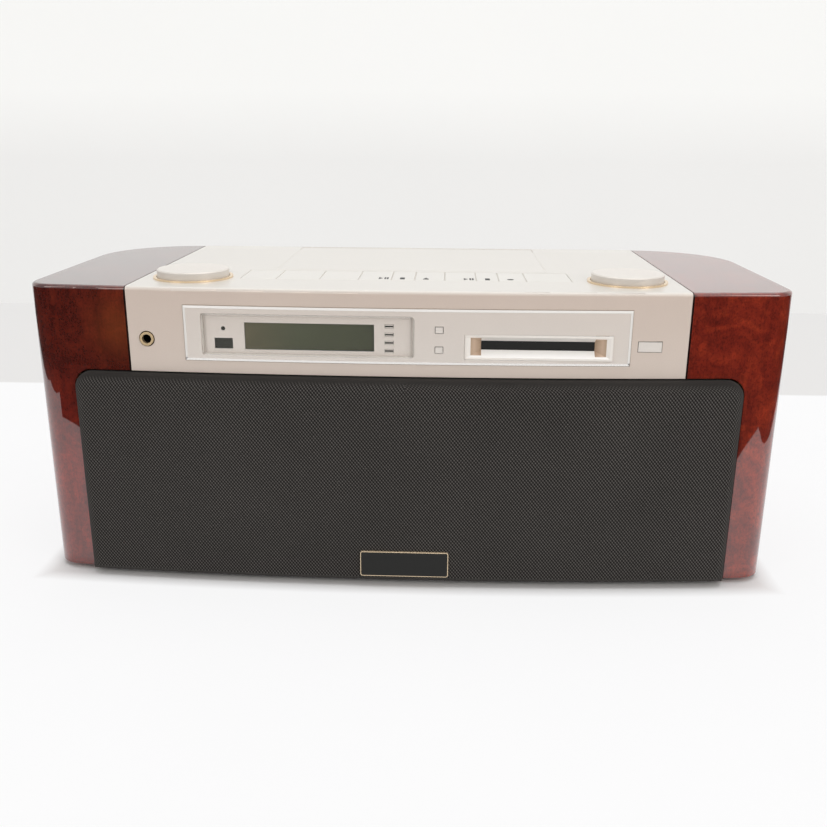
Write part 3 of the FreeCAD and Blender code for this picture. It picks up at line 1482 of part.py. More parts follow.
def make_motors():
    """The spindle motor and the feed motor, hung under the chassis plate."""
    under = "(chassis_z - chassis_wall)"
    bottom = f"{under} - motor_height"
    spindle = cut(cylinder("spindle_motor_radius", "motor_height", ("0", "well_y", bottom)),
                  cylinder("spindle_radius + shaft_gap", "motor_height",
                           ("0", "well_y", f"{under} - spindle_reach")), name="spindle_motor")
    can = cylinder("feed_motor_radius", "motor_height", ("-feed_gear_x", "feed_gear_y", bottom))
    shaft = cylinder("feed_shaft", "chassis_wall + gear_lift + gear_wall + shaft_proud",
                     ("-feed_gear_x", "feed_gear_y", under))
    return joined(spindle, can, shaft, name="drive_motors")


def make_chassis():
    """The mechanism's plate, with posts up to the well's floor and blocks that hold the rods."""
    half_block = "rod_block_width/2"
    under = "chassis_z - 5*chassis_wall"
    plate = cut(box(("rod_start", "chassis_right"), ("well_y - chassis_front", "well_y + chassis_back"),
                    ("chassis_z - chassis_wall", "chassis_z")),
                cylinder("spindle_hole", "10*chassis_wall", ("0", "well_y", under)),
                cylinder("feed_hole", "10*chassis_wall", ("-feed_gear_x", "feed_gear_y", under)),
                name="plate")
    posts = new_body("posts")
    pad(posts, "XY", "chassis_z - chassis_wall", f"{drop('well_floor_drop')} - well_wall",
        *[square(x, y, "chassis_post") for x in ("-chassis_post_left", "chassis_post_right")
          for y in ("well_y - chassis_post_y", "well_y + chassis_post_y")])
    blocks = [cut(box((low, f"{low} + rod_block_length"), (f"{y} - {half_block}", f"{y} + {half_block}"),
                      ("chassis_z", f"rod_z + {half_block}")),
                  cylinder("rod_radius", "rod_end - rod_start + 2", ("rod_start - 1", y, "rod_z"), "x"),
                  name="rod_block")
              for y in ("well_y - rod_spacing/2", "well_y + rod_spacing/2")
              for low in ("rod_start", "rod_end - rod_block_length")]
    return joined(plate, posts, *blocks, name="chassis")


def make_pickup():
    """The laser carriage: a body bored for both rods, a lens on top and the rack along one side."""
    middle, low, top = "-pickup_start", "chassis_z + gear_lift", drop("pickup_drop")
    lens_top = "(disc_z - lens_gap)"
    carriage = box((f"{middle} - pickup_half_length", f"{middle} + pickup_half_length"),
                   ("well_y - pickup_half_width", "well_y + pickup_half_width"), (low, top))
    turret = cylinder("lens_radius + lens_rim", f"{lens_top} - lens_proud - {top}",
                      (middle, "well_y", top))
    lens = cylinder("lens_radius", f"{lens_top} - {top}", (middle, "well_y", top))
    bores = [cylinder("rod_radius + shaft_gap", "2*pickup_half_length + 2",
                      (f"{middle} - pickup_half_length - 1", y, "rod_z"), "x")
             for y in ("well_y - rod_spacing/2", "well_y + rod_spacing/2")]
    return joined(cut(joined(carriage, turret, lens), *bores, name="carriage"), make_rack(), name="pickup")


def make_rack():
    """The toothed strip on the carriage, long enough for the whole travel."""
    module, width, middle_y = number("rack_module"), number("rack_width"), number("rack_y")
    slope = math.tan(math.radians(number("pressure_angle")))
    pitch = math.pi * module
    left = number("-pickup_start - pickup_half_length")
    right = number("pickup_travel - feed_gear_x + rack_spare")
    half = pitch / 4 - number("gear_backlash") / 2
    below, above = 1.1 * module, 0.7 * module
    corners = [Vector(left, middle_y + width), Vector(left, middle_y + below)]
    first = math.ceil((left - number("-feed_gear_x")) / pitch - 0.5)
    centre = number("-feed_gear_x") + (first + 0.5) * pitch
    while centre + half + slope * below < right:
        if centre - half - slope * below > left:
            corners += [Vector(centre - half - slope * below, middle_y + below),
                        Vector(centre - half + slope * above, middle_y - above),
                        Vector(centre + half - slope * above, middle_y - above),
                        Vector(centre + half + slope * below, middle_y + below)]
        centre += pitch
    corners += [Vector(right, middle_y + below), Vector(right, middle_y + width)]
    outline = Part.Face(Part.makePolygon(corners + corners[:1]))
    return coded("rack", outline.extrude(Vector(0, 0, number("gear_wall"))),
                 at=("0", "0", "chassis_z + gear_lift"))


def make_feed_gear():
    """The gear between the feed motor's shaft and the rack, a tooth facing the rack."""
    outline = involute_face(round(number("feed_teeth")), number("rack_module"), 0.9, math.pi / 2)
    wall = number("gear_wall")
    bore = Part.makeCylinder(number("feed_shaft + shaft_gap"), 3 * wall, Vector(0, 0, -wall))
    return coded("feed_gear", outline.extrude(Vector(0, 0, wall)).cut(bore),
                 at=("-feed_gear_x", "feed_gear_y", "chassis_z + gear_lift"))


place("hub_collar_low", "disc_z - platter_wall - hub_collar_height")
keep("turntable", make_turntable())
keep("drive_motors", make_motors())
keep("mechanism_base", make_chassis())
keep("optical_pickup", make_pickup())
keep("feed_gear", make_feed_gear())
keep("guide_rods", joined(*[
    cylinder("rod_radius", "rod_end - rod_start", ("rod_start", y, "rod_z"), "x")
    for y in ("well_y - rod_spacing/2", "well_y + rod_spacing/2")], name="guide_rods"))


# Back panel and what it carries

def around(x, z, half_width, half_height, spare="0"):
    """Low and high places of a rectangle round a point, on X and on Z."""
    return ((f"{x} - {half_width} - {spare}", f"{x} + {half_width} + {spare}"),
            (f"{z} - {half_height} - {spare}", f"{z} + {half_height} + {spare}"))


def make_rear_panel():
    """The back, narrower inside the cover's flanges, with slots for air and holes for the sockets."""
    panel = new_body("rear")
    upper = "(cover_half - cover_wall - fit)"
    pad(panel, "XZ", "rear_y - rear_wall", "rear_y",
        [("-cover_half", "base_top"), ("cover_half", "base_top"), ("cover_half", "face_bottom"),
         (upper, "face_bottom"), (upper, drop("cover_wall")), (f"-{upper}", drop("cover_wall")),
         (f"-{upper}", "face_bottom"), ("-cover_half", "face_bottom")])
    pocket(panel, "XZ", "rear_y - rear_wall - 1", "rear_y + 1",
           *[oblong(*sides, *heights) for sides, heights in (INLET_PLATE, JACK_PLATE, AERIAL_PLATE)])
    first_vent = "(vent_pitch*(vent_count - 1)/2)"
    vent = pocket(panel, "XZ", "rear_y - rear_wall - 1", "rear_y + 1",
                  oblong(f"-{first_vent} - vent_width/2", f"vent_width/2 - {first_vent}",
                         drop("vent_low"), drop("vent_high")))
    vents = panel.newObject("PartDesign::LinearPattern", "vents")
    vents.Originals = [vent]
    vents.Direction = (vent.Profile[0], ["H_Axis"])
    vents.setExpression("Length", bound("vent_pitch*(vent_count - 1)"))
    vents.setExpression("Occurrences", bound("vent_count"))
    panel.Tip = vents
    return panel


def plate_in(hole, depth, name):
    """A moulded block that fills one of the panel's holes and stands a little proud of it."""
    (left, right), (low, high) = hole
    return box((f"{left} + fit/2", f"{right} - fit/2"), (f"rear_y - {depth}", "rear_y + plate_proud"),
               (f"{low} + fit/2", f"{high} - fit/2"), name=name)


def make_inlet():
    """A two-pin mains inlet: a rounded recess with its pins."""
    case = plate_in(INLET_PLATE, "(inlet_depth + inlet_rim)", "case")
    recess = new_body("recess")
    sides, heights = around("inlet_x", "inlet_z", "inlet_width/2", "inlet_height/2")
    pad(recess, "XZ", "rear_y - inlet_depth", "rear_y + plate_proud + 1",
        oblong(*sides, *heights, "inlet_corner"))
    pins = [cylinder("inlet_pin", "inlet_depth - 1", (x, "rear_y - inlet_depth - 1", "inlet_z"), "y")
            for x in ("inlet_x - inlet_pin_x", "inlet_x + inlet_pin_x")]
    return joined(cut(case, recess, name="inlet_case"), *pins, name="inlet")


def make_line_jacks():
    """Two pairs of phono sockets on one moulded plate."""
    plate = plate_in(JACK_PLATE, "jack_depth", "plate")
    (left, right), (low, high) = around("jacks_x", "jacks_z", "jack_pitch/2", "jack_pitch/2")
    spots = [(x, z) for x in (left, right) for z in (low, high)]
    barrels = [cylinder("jack_radius", "jack_reach + 1", (x, "rear_y - 1", z), "y") for x, z in spots]
    holes = [cylinder("jack_bore", "2*jack_depth", (x, "rear_y - jack_depth/2", z), "y") for x, z in spots]
    return cut(joined(plate, *barrels), *holes, name="line_jacks")


def make_aerial():
    """Two screw terminals for the aerials."""
    posts = [cylinder("terminal_radius", "jack_reach", (x, "rear_y", "jacks_z"), "y")
             for x in ("aerial_x - terminal_x", "aerial_x + terminal_x")]
    return joined(plate_in(AERIAL_PLATE, "aerial_depth", "plate"), *posts, name="aerial")


def make_main_board():
    """The amplifier board on its posts."""
    low = "(base_top + main_board_lift)"
    left, right = "-main_board_left", "(upright_x - main_board_side)"
    front, back = "(baffle_back_y + main_board_front)", "(rear_y - main_board_back)"
    inset = "main_post_inset"
    board = new_body("board")
    pad(board, "XY", low, f"{low} + circuit_wall", oblong(left, right, front, back))
    pad(board, "XY", "base_top", f"{low} + circuit_wall/2",
        *[square(x, y, "board_post") for x in (f"{left} + {inset}", f"{right} - {inset}")
          for y in (f"{front} + {inset}", f"{back} - {inset}")])
    return board


def make_heat_sink():
    """The amplifier's finned heat sink, standing on the board."""
    sink = new_body("sink")
    low = "(base_top + main_board_lift + circuit_wall)"
    front, back = "(rear_y - sink_in)", "(rear_y - sink_in + sink_wall)"
    right = "sink_left + fin_pitch*(fin_count - 1) + fin_wall"
    pad(sink, "XY", low, f"{low} + sink_height", oblong("sink_left", right, front, back))
    fin = pad(sink, "XY", low, f"{low} + sink_height",
              oblong("sink_left", "sink_left + fin_wall", f"{back} - 1", f"{back} + fin_reach"))
    fins = sink.newObject("PartDesign::LinearPattern", "fins")
    fins.Originals = [fin]
    fins.Direction = (fin.Profile[0], ["H_Axis"])
    fins.setExpression("Length", bound("fin_pitch*(fin_count - 1)"))
    fins.setExpression("Occurrences", bound("fin_count"))
    sink.Tip = fins
    return sink


def make_transformer():
    """A laminated core with its winding and mounting feet."""
    x, y = "(core_inset - upright_x)", "(rear_y - core_in)"
    z = "(base_top + core_foot_wall + core_height/2)"
    core_sides, core_heights = around(x, z, "core_width/2", "core_height/2")
    sides, heights = around(x, z, "winding_width/2", "winding_height/2")
    core = box(core_sides, (f"{y} - core_depth/2", f"{y} + core_depth/2"), core_heights)
    winding = new_body("winding")
    pad(winding, "XZ", f"{y} - winding_depth/2", f"{y} + winding_depth/2",
        oblong(*sides, *heights, "winding_corner"))
    foot = box((f"{x} - core_foot_width/2", f"{x} + core_foot_width/2"),
               (f"{y} - core_depth/2 + 1", f"{y} + core_depth/2 - 1"),
               ("base_top", "base_top + core_foot_wall"))
    return joined(core, winding, foot, name="transformer")


place("inlet_x", "inlet_inset - cover_half")
place("inlet_z", "base_top + inlet_lift")
place("jacks_x", "upright_x - jacks_inset")
place("jacks_z", "face_bottom - jacks_drop")
place("aerial_x", "aerial_inset - upright_x")
INLET_PLATE = around("inlet_x", "inlet_z", "inlet_width/2", "inlet_height/2", "inlet_rim")
JACK_PLATE = around("jacks_x", "jacks_z", "jack_pitch/2", "jack_pitch/2", "jack_rim")
AERIAL_PLATE = around("aerial_x", "jacks_z", "aerial_width/2", "aerial_height/2")
keep("rear_panel", make_rear_panel())
keep("ac_inlet", make_inlet())
keep("line_jacks", make_line_jacks())
keep("antenna_terminals", make_aerial())
keep("main_board", make_main_board())
keep("heat_sink", make_heat_sink())
keep("power_transformer", make_transformer())
keep("screws", joined(*[
    cylinder("screw_radius", "screw_head", (x, "rear_y", z), "y")
    for x in ("screw_inset - cover_half", "cover_half - screw_inset", "0")
    for z in ("base_top + screw_low", drop("screw_high"))], name="screws"))




# Checks and export

doc.recompute()
for item in doc.Objects:
    if "Invalid" in item.State or "Error" in item.State:
        raise RuntimeError(f"{item.Label} failed: {item.State}")
    if item.isDerivedFrom("PartDesign::Pocket"):
        if item.Shape.Volume > item.BaseFeature.Shape.Volume - 0.1:
            raise RuntimeError(f"{item.Label} in {item.getParentGeoFeatureGroup().Label} cuts nothing")
os.makedirs("parts", exist_ok=True)
for name, piece in pieces.items():
    shape = piece.Shape
    if shape.isNull() or not shape.isValid() or not shape.Solids:
        raise RuntimeError(f"{name} has no valid solid")
    shape.exportStep(f"parts/{name}.step")
    print(f"{name}: {len(shape.Solids)} solids, {shape.Volume/1000:.1f} cm3")
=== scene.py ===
import math

import bmesh
import bpy
from mathutils import Matrix, Vector


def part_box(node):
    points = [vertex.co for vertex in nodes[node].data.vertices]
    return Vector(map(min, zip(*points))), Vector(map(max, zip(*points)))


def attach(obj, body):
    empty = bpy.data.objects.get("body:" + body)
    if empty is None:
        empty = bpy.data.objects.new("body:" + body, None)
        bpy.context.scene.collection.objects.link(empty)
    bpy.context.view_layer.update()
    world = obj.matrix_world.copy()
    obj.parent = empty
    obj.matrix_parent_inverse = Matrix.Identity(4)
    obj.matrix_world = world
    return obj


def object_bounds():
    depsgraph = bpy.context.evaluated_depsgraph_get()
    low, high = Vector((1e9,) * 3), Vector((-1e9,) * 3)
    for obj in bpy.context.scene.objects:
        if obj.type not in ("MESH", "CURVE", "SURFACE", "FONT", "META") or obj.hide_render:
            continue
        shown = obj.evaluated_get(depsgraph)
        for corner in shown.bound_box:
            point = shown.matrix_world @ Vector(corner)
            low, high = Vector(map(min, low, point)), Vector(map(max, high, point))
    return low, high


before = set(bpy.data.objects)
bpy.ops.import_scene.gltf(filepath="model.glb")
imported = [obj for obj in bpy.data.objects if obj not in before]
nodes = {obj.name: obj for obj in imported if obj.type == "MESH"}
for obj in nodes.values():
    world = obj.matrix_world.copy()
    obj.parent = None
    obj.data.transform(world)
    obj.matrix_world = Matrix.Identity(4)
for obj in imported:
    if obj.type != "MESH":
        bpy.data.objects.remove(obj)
cad_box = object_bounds()
scene = bpy.context.scene
MM = 0.001


# Sizes taken from the frame, in millimetres

class Box:
    """Where a CAD node lies at rest."""

    def __init__(self, name):
        low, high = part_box(name)
        self.left, self.front, self.low = (round(value / MM, 3) for value in low)
        self.right, self.back, self.high = (round(value / MM, 3) for value in high)
        self.middle_x = (self.left + self.right) / 2
        self.middle_y = (self.front + self.back) / 2
        self.middle_z = (self.low + self.high) / 2


BOW_RADIUS = 3000
KEYS = ("power_key", "timer_key", "tuner_key", "cd_play_key", "cd_stop_key", "lid_key",
        "md_play_key", "md_stop_key", "record_key", "line_key")
COVER = Box("upper_cover")
PANEL = Box("sub_panel")
WINDOW = Box("display_window")
CLOTH = Box("grille_cloth")
BADGE = Box("badge_plate")
LID = Box("cd_lid")
SLOT = Box("md_slot_frame")
SLOT_DOOR = Box("md_slot_door")
REAR = Box("rear_panel")


def face_y(x):
    """The Y of the bowed front at x."""
    return COVER.front + x * x / (2 * BOW_RADIUS)


def hole(name, inset, front, shade):
    """A hole round a small key, whose walls get painted shade: its sides, the Y where its walls begin
    and how pale that shade is.
    """
    key = Box(name)
    return key.left + inset, key.right - inset, key.low + inset, key.high - inset, front, shade


EJECT_HOLE = hole("md_eject_button", inset=0.5, shade=0.05,
                  front=face_y(Box("md_eject_button").middle_x) + 0.243)
BUTTON_HOLES = [hole(name, inset=0.6, shade=0.2, front=PANEL.front + 0.2)
                for name in ("display_button", "play_mode_button")]


# Camera, at the photograph's viewing angle

def turned_about(axis, angle):
    """A turn about the X or the Z axis."""
    cos, sin = math.cos(angle), math.sin(angle)
    if axis == "X":
        return Matrix(((1, 0, 0), (0, cos, -sin), (0, sin, cos)))
    return Matrix(((cos, -sin, 0), (sin, cos, 0), (0, 0, 1)))


def place_camera():
    """A 39.9 mm lens looking down at the front from a little right of the middle."""
    picture_width, focal_pixels, sensor_width = 827, 916.64, 36
    pitch, yaw, roll = 0.304574, -0.0340444, 0.00647945
    level = Matrix(((1, 0, 0), (0, 0, -1), (0, 1, 0)))
    right, down, ahead = turned_about("Z", roll) @ turned_about("X", pitch) @ level @ turned_about("Z", yaw)
    data = bpy.data.cameras.new("camera")
    data.sensor_width = sensor_width
    data.lens = focal_pixels * sensor_width / picture_width
    data.shift_y = 1 / picture_width
    data.clip_start, data.clip_end = 0.02, 50
    camera = bpy.data.objects.new("camera", data)
    scene.collection.objects.link(camera)
    camera.matrix_world = Matrix((right, -down, -ahead)).transposed().to_4x4()
    camera.location = (0.02636, -0.71725, 0.31969)
    scene.camera = camera


place_camera()


# Node materials

class Shader:
    """A short way to write a node material. Coordinates come in metres, and between, from_middle, bump and
    soft_edges take their sizes in millimetres."""

    SOCKETS = {"color": "Base Color", "metal": "Metallic", "rough": "Roughness", "coat": "Coat Weight",
               "coat_rough": "Coat Roughness", "coat_ior": "Coat IOR", "spec": "Specular IOR Level",
               "alpha": "Alpha", "sheen": "Sheen Weight", "sheen_rough": "Sheen Roughness",
               "sheen_tint": "Sheen Tint", "normal": "Normal"}

    def __init__(self, name, **sockets):
        self.material = bpy.data.materials.new(name)
        self.material.use_nodes = True
        self.tree = self.material.node_tree
        self.tree.nodes.clear()
        self.out = self.tree.nodes.new("ShaderNodeOutputMaterial")
        self.bsdf = self.node("ShaderNodeBsdfPrincipled")
        self.link(self.bsdf.outputs[0], self.out.inputs[0])
        self.set(**sockets)

    def node(self, kind, **settings):
        made = self.tree.nodes.new(kind)
        for key, value in settings.items():
            setattr(made, key, value)
        return made

    def set(self, **sockets):
        for key, value in sockets.items():
            self.link(value, self.bsdf.inputs[self.SOCKETS[key]])

    def link(self, value, socket):
        """Joins a socket to another, or gives it a number or a colour."""
        if isinstance(value, bpy.types.NodeSocket):
            self.tree.links.new(value, socket)
        elif isinstance(value, tuple) and len(value) == 3 and len(getattr(socket, "default_value", ())) == 4:
            socket.default_value = (*value, 1)
        else:
            socket.default_value = value

    def place(self):
        """The point, and its X, Y and Z in the set's frame, in metres."""
        point = self.node("ShaderNodeTexCoord").outputs["Object"]
        split = self.node("ShaderNodeSeparateXYZ")
        self.link(point, split.inputs[0])
        return point, *split.outputs

    def facing(self):
        """The X, Y and Z of the direction that the surface faces."""
        split = self.node("ShaderNodeSeparateXYZ")
        self.link(self.node("ShaderNodeTexCoord").outputs["Normal"], split.inputs[0])
        return tuple(split.outputs)

    def math(self, operation, a, b=0.0, c=0.0, clamp=False):
        made = self.node("ShaderNodeMath", operation=operation, use_clamp=clamp)
        for value, socket in zip((a, b, c), made.inputs):
            self.link(value, socket)
        return made.outputs[0]

    def product(self, first, *others):
        for other in others:
            first = self.math("MULTIPLY", first, other)
        return first

    def squares(self, a, b):
        return self.math("ADD", self.math("MULTIPLY", a, a), self.math("MULTIPLY", b, b))

    def distance(self, a, b):
        return self.math("SQRT", self.squares(a, b))

    def from_middle(self, value, middle):
        """How far a place lies from a middle, on either side."""
        return self.math("ABSOLUTE", self.math("SUBTRACT", value, middle * MM))

    def share(self, value, start, length, clamp=True):
        """How far value lies past start, as a share of length."""
        return self.math("DIVIDE", self.math("SUBTRACT", value, start), length, clamp=clamp)

    def inside(self, value, low, high, soft):
        """1 where low < value < high, with soft edges."""
        rise = self.share(value, low, soft)
        fall = self.math("DIVIDE", self.math("SUBTRACT", high, value), soft, clamp=True)
        return self.math("MULTIPLY", rise, fall)

    def between(self, place, low=-9000, high=9000, soft=0.05):
        """1 where a place lies between two others, with soft edges."""
        return self.inside(place, low * MM, high * MM, soft * MM)

    def scaled(self, vector, scale):
        made = self.node("ShaderNodeMapping")
        self.link(vector, made.inputs[0])
        made.inputs["Scale"].default_value = scale
        return made.outputs[0]

    def noise(self, vector, scale, detail, roughness=0.5, distortion=0.0):
        made = self.node("ShaderNodeTexNoise")
        self.link(vector, made.inputs["Vector"])
        made.inputs["Scale"].default_value = scale
        made.inputs["Detail"].default_value = detail
        made.inputs["Roughness"].default_value = roughness
        made.inputs["Distortion"].default_value = distortion
        return made.outputs["Fac"]

    def ramp(self, value, *stops):
        made = self.node("ShaderNodeValToRGB")
        self.link(value, made.inputs[0])
        elements = made.color_ramp.elements
        while len(elements) < len(stops):
            elements.new(0.5)
        for element, (place, color) in zip(elements, stops):
            element.position = place
            element.color = (*color, 1) if isinstance(color, tuple) else (color, color, color, 1)
        return made.outputs[0]

    def mix(self, share, a, b, blend="MIX"):
        made = self.node("ShaderNodeMix", data_type="RGBA", blend_type=blend)
        self.link(share, made.inputs[0])
        self.link(a, made.inputs[6])
        self.link(b, made.inputs[7])
        return made.outputs[2]

    def tint(self, color, by, share=1.0):
        """A colour multiplied by another."""
        return self.mix(share, color, by, "MULTIPLY")

    def bump(self, height, strength, distance, normal=None):
        made = self.node("ShaderNodeBump")
        made.inputs["Strength"].default_value = strength
        made.inputs["Distance"].default_value = distance * MM
        self.link(height, made.inputs["Height"])
        if normal is not None:
            self.link(normal, made.inputs["Normal"])
        return made.outputs[0]

    def soft_edges(self, radius):
        made = self.node("ShaderNodeBevel", samples=4)
        made.inputs["Radius"].default_value = radius * MM
        return made.outputs[0]


# Wood

def veneer(s, point):
    """Red-brown veneer with a broad figure, mottling, specks and upright grain."""
    warp = s.noise(s.scaled(point, (1, 1, 0.7)), 11, 3, 0.55, 0.6)
    figure = s.noise(s.scaled(point, (1, 1, 0.75)), 38, 5, 0.6, 2.2)
    mottle = s.noise(s.scaled(point, (1, 1, 1.3)), 260, 4, 0.6, 0.6)
    specks = s.noise(s.scaled(point, (1, 1, 0.6)), 950, 3, 0.6, 0.4)
    grain = s.noise(s.scaled(point, (1, 1, 0.06)), 520, 4, 0.6)
    color = s.ramp(figure, (0.30, (0.150, 0.0115, 0.0048)), (0.48, (0.210, 0.0172, 0.0065)),
                   (0.62, (0.285, 0.0265, 0.0085)), (0.80, (0.400, 0.0460, 0.0130)))
    color = s.tint(color, s.ramp(warp, (0.35, (0.82, 0.78, 0.78)), (0.65, (1.14, 1.18, 1.08))))
    color = s.tint(color, s.ramp(mottle, (0.36, 0.72), (0.60, 1.10)), 0.7)
    color = s.tint(color, s.ramp(specks, (0.38, 0.50), (0.52, 1.08)), 0.6)
    color = s.tint(color, s.ramp(grain, (0.38, 0.60), (0.56, 1.06)), 0.35)
    return color, warp


def lacquer_wood():
    """Veneer under a thick clear lacquer. The left wing carries painted shade, darkest towards its top, and a
    painted orange reflection near that top. The wings' fronts beside the cover carry a thin band of painted
    shade.
    """
    left_wing = Box("left_wing")
    left_part, gap_shade_from, gap_shade_to = -100, 150, -left_wing.right + 0.8
    dim_low, dim_rise = 0.09, 0.07
    glow_x, glow_z = left_wing.right - 8, left_wing.high - 29
    glow_width, glow_height = 17 * MM, 20 * MM
    s = Shader("lacquer_wood")
    point, x, y, z = s.place()
    color, warp = veneer(s, point)
    # Painted shade: the left wing is made darker, most towards its top.
    dim = s.mix(s.share(z, dim_low, dim_rise), (1.05, 0.82, 0.85), (0.46, 0.50, 0.62))
    color = s.mix(s.between(x, high=left_part), color, s.tint(color, dim))
    # A painted orange reflection, following the figure, near the top of the left wing.
    far = s.squares(s.share(x, glow_x * MM, glow_width, clamp=False),
                    s.share(z, glow_z * MM, glow_height, clamp=False))
    glow = s.product(s.math("EXPONENT", s.math("MULTIPLY", far, -1.0)), s.math("MULTIPLY", warp, 1.2), 0.7)
    color = s.mix(glow, color, (0.22, 0.052, 0.010))
    # A thin near-black band of painted shade on the wings' fronts, at the gap beside the cover.
    facing_front = s.inside(s.facing()[1], -1.1, -0.8, 0.05)
    gap_shade = s.product(s.between(s.from_middle(x, 0), gap_shade_from, gap_shade_to), facing_front)
    color = s.mix(gap_shade, color, (0.008, 0.005, 0.004))
    s.set(color=color, rough=0.35, spec=0.12, coat=1.0, coat_rough=0.02, coat_ior=1.93)
    s.set(normal=s.soft_edges(0.6))
    return s.material


# Satin paint

def shade_window(s, tone, x, y, z):
    """Shade round the rim of the recess behind the display's window."""
    inset, rim_depth, side_fade, end_fade = 0.05, 0.95, 3.5, 1.2
    sides = WINDOW.left + inset, WINDOW.right - inset
    ends = WINDOW.low + inset, WINDOW.high - inset
    recess = s.product(s.between(x, *sides), s.between(z, *ends), s.between(y, low=PANEL.front + rim_depth))
    middle = s.product(s.between(x, *sides, side_fade), s.between(z, *ends, end_fade))
    shade = s.product(recess, s.math("SUBTRACT", 1.0, middle), 0.75)
    return s.mix(shade, tone, (0.42, 0.37, 0.32))


def shade_holes(s, tone, x, y, z, holes):
    """Painted shade on the walls in holes, each a little browner than grey."""
    for left, right, low, high, front, shade in holes:
        walls = s.product(s.between(x, left, right), s.between(z, low, high), s.between(y, low=front))
        tone = s.mix(walls, tone, (shade, shade * 0.78, shade * 0.62))
    return tone


def champagne(name, front, top, edge=0.2, edge_highlight=0.0, holes=(), windowed=False):
    """Satin metallic paint with a very fine flake. A painted highlight makes what faces up paler, and painted
    shade darkens the front's top band. Bevelled edges, a polished cut, may get a painted highlight; the walls
    of holes and the sides beside the wings get painted shade, and a window's recess is shaded at its rim."""
    front_shade_low, front_shade_rise, side_depth = 0.16, 0.05, 0.2
    s = Shader(name)
    point, x, y, z = s.place()
    facing_y, facing_z = s.facing()[1:]
    flake = s.noise(point, 3800, 2, 0.6)
    cloud = s.noise(point, 14, 3, 0.5)
    # Painted shade darkens the front's top band, and a painted highlight gives what faces up the paler top
    # tone.
    shaded_high_front = tuple(part * share for part, share in zip(front, (0.93, 0.90, 0.885)))
    upright = s.mix(s.share(z, front_shade_low, front_shade_rise), front, shaded_high_front)
    tone = s.mix(s.math("MULTIPLY", facing_z, 1.0, clamp=True), upright, top)
    # Bevelled faces turn pale: a painted highlight on the polished cut of the edge.
    if edge_highlight:
        bevel = s.inside(s.math("ABSOLUTE", facing_y), 0.4, 0.95, 0.05)
        tone = s.mix(s.product(bevel, edge_highlight), tone, (1.0, 0.985, 0.96))
    tone = s.tint(tone, s.ramp(flake, (0.3, 0.97), (0.7, 1.03)))
    tone = s.tint(tone, s.ramp(cloud, (0.3, 0.985), (0.7, 1.015)))
    if windowed:
        tone = shade_window(s, tone, x, y, z)
    # The cover's sides in the gap beside the wings are painted near black: painted shade in the gap.
    beside_wings = s.between(s.from_middle(x, 0), low=COVER.right - side_depth)
    sideways = s.inside(facing_y, -0.5, 0.5, 0.05)
    tone = s.mix(s.product(beside_wings, sideways), tone, (0.02, 0.014, 0.011))
    tone = shade_holes(s, tone, x, y, z, holes)
    s.set(color=tone, metal=0.12, rough=s.math("MULTIPLY_ADD", cloud, 0.08, 0.32), coat=0.35, coat_rough=0.15)
    s.set(normal=s.bump(flake, 0.05, 0.02, s.soft_edges(edge)))
    return s.material


# Cloth, and materials that several nodes share

def cloth():
    """Charcoal knit: staggered rows of small holes between pale threads, wrapped round the grille's edges."""
    pitch, row, half_way = 2.3 * MM, 1.43 * MM, 80 * MM
    s = Shader("grille_knit")
    point, x, y, z = s.place()
    bow = s.math("MULTIPLY_ADD", s.math("MULTIPLY", x, x), 1 / (2 * BOW_RADIUS * MM), CLOTH.front * MM)
    behind = s.math("SUBTRACT", y, bow)
    side = s.math("SIGN", x)
    over = s.math("SIGN", s.math("SUBTRACT", z, half_way))
    across = s.math("MULTIPLY", s.math("ADD", x, s.math("MULTIPLY", side, behind)), math.tau / pitch)
    up = s.math("MULTIPLY", s.math("ADD", z, s.math("MULTIPLY", over, behind)), math.pi / row)
    wave = s.math("ADD", s.math("MULTIPLY", s.math("COSINE", s.math("ADD", across, up)), 0.62),
                  s.math("MULTIPLY", s.math("COSINE", s.math("SUBTRACT", across, up)), 0.38))
    flat = s.share(s.math("ABSOLUTE", s.facing()[1]), 0.62, 0.33)
    thread = s.math("MULTIPLY_ADD", s.math("MULTIPLY", wave, flat), -0.5, 0.5)
    twist = s.noise(s.scaled(point, (1, 1, 1.6)), 2600, 3, 0.6)
    broad = s.noise(point, 12, 4, 0.6)
    color = s.ramp(thread, (0.0, (0.0020, 0.0019, 0.0018)), (0.5, (0.028, 0.0257, 0.0240)),
                   (1.0, (0.125, 0.117, 0.110)))
    color = s.tint(color, s.ramp(twist, (0.3, 0.75), (0.7, 1.25)), 0.5)
    color = s.tint(color, s.ramp(broad, (0.3, 0.92), (0.7, 1.08)))
    s.set(color=color, rough=0.85, spec=0.15, sheen=0.1, sheen_rough=0.5, sheen_tint=(0.8, 0.76, 0.72))
    s.set(normal=s.bump(thread, 0.4, 0.3))
    return s.material


def plain(name, color, rough=0.5, metal=0.0, grain_scale=900, grain=0.06, bump=0.1, **more):
    """A moulded or cast surface with its own fine texture."""
    s = Shader(name)
    point = s.place()[0]
    fine = s.noise(point, grain_scale, 3, 0.55)
    wide = s.noise(point, 30, 3, 0.5)
    tone = s.tint(color, s.ramp(fine, (0.3, 1 - grain), (0.7, 1 + grain)))
    tone = s.tint(tone, s.ramp(wide, (0.3, 0.96), (0.7, 1.04)))
    s.set(color=tone, metal=metal, rough=s.math("MULTIPLY_ADD", wide, 0.1, rough - 0.05))
    s.set(normal=s.bump(fine, bump, 0.04, s.soft_edges(0.3)), **more)
    return s.material


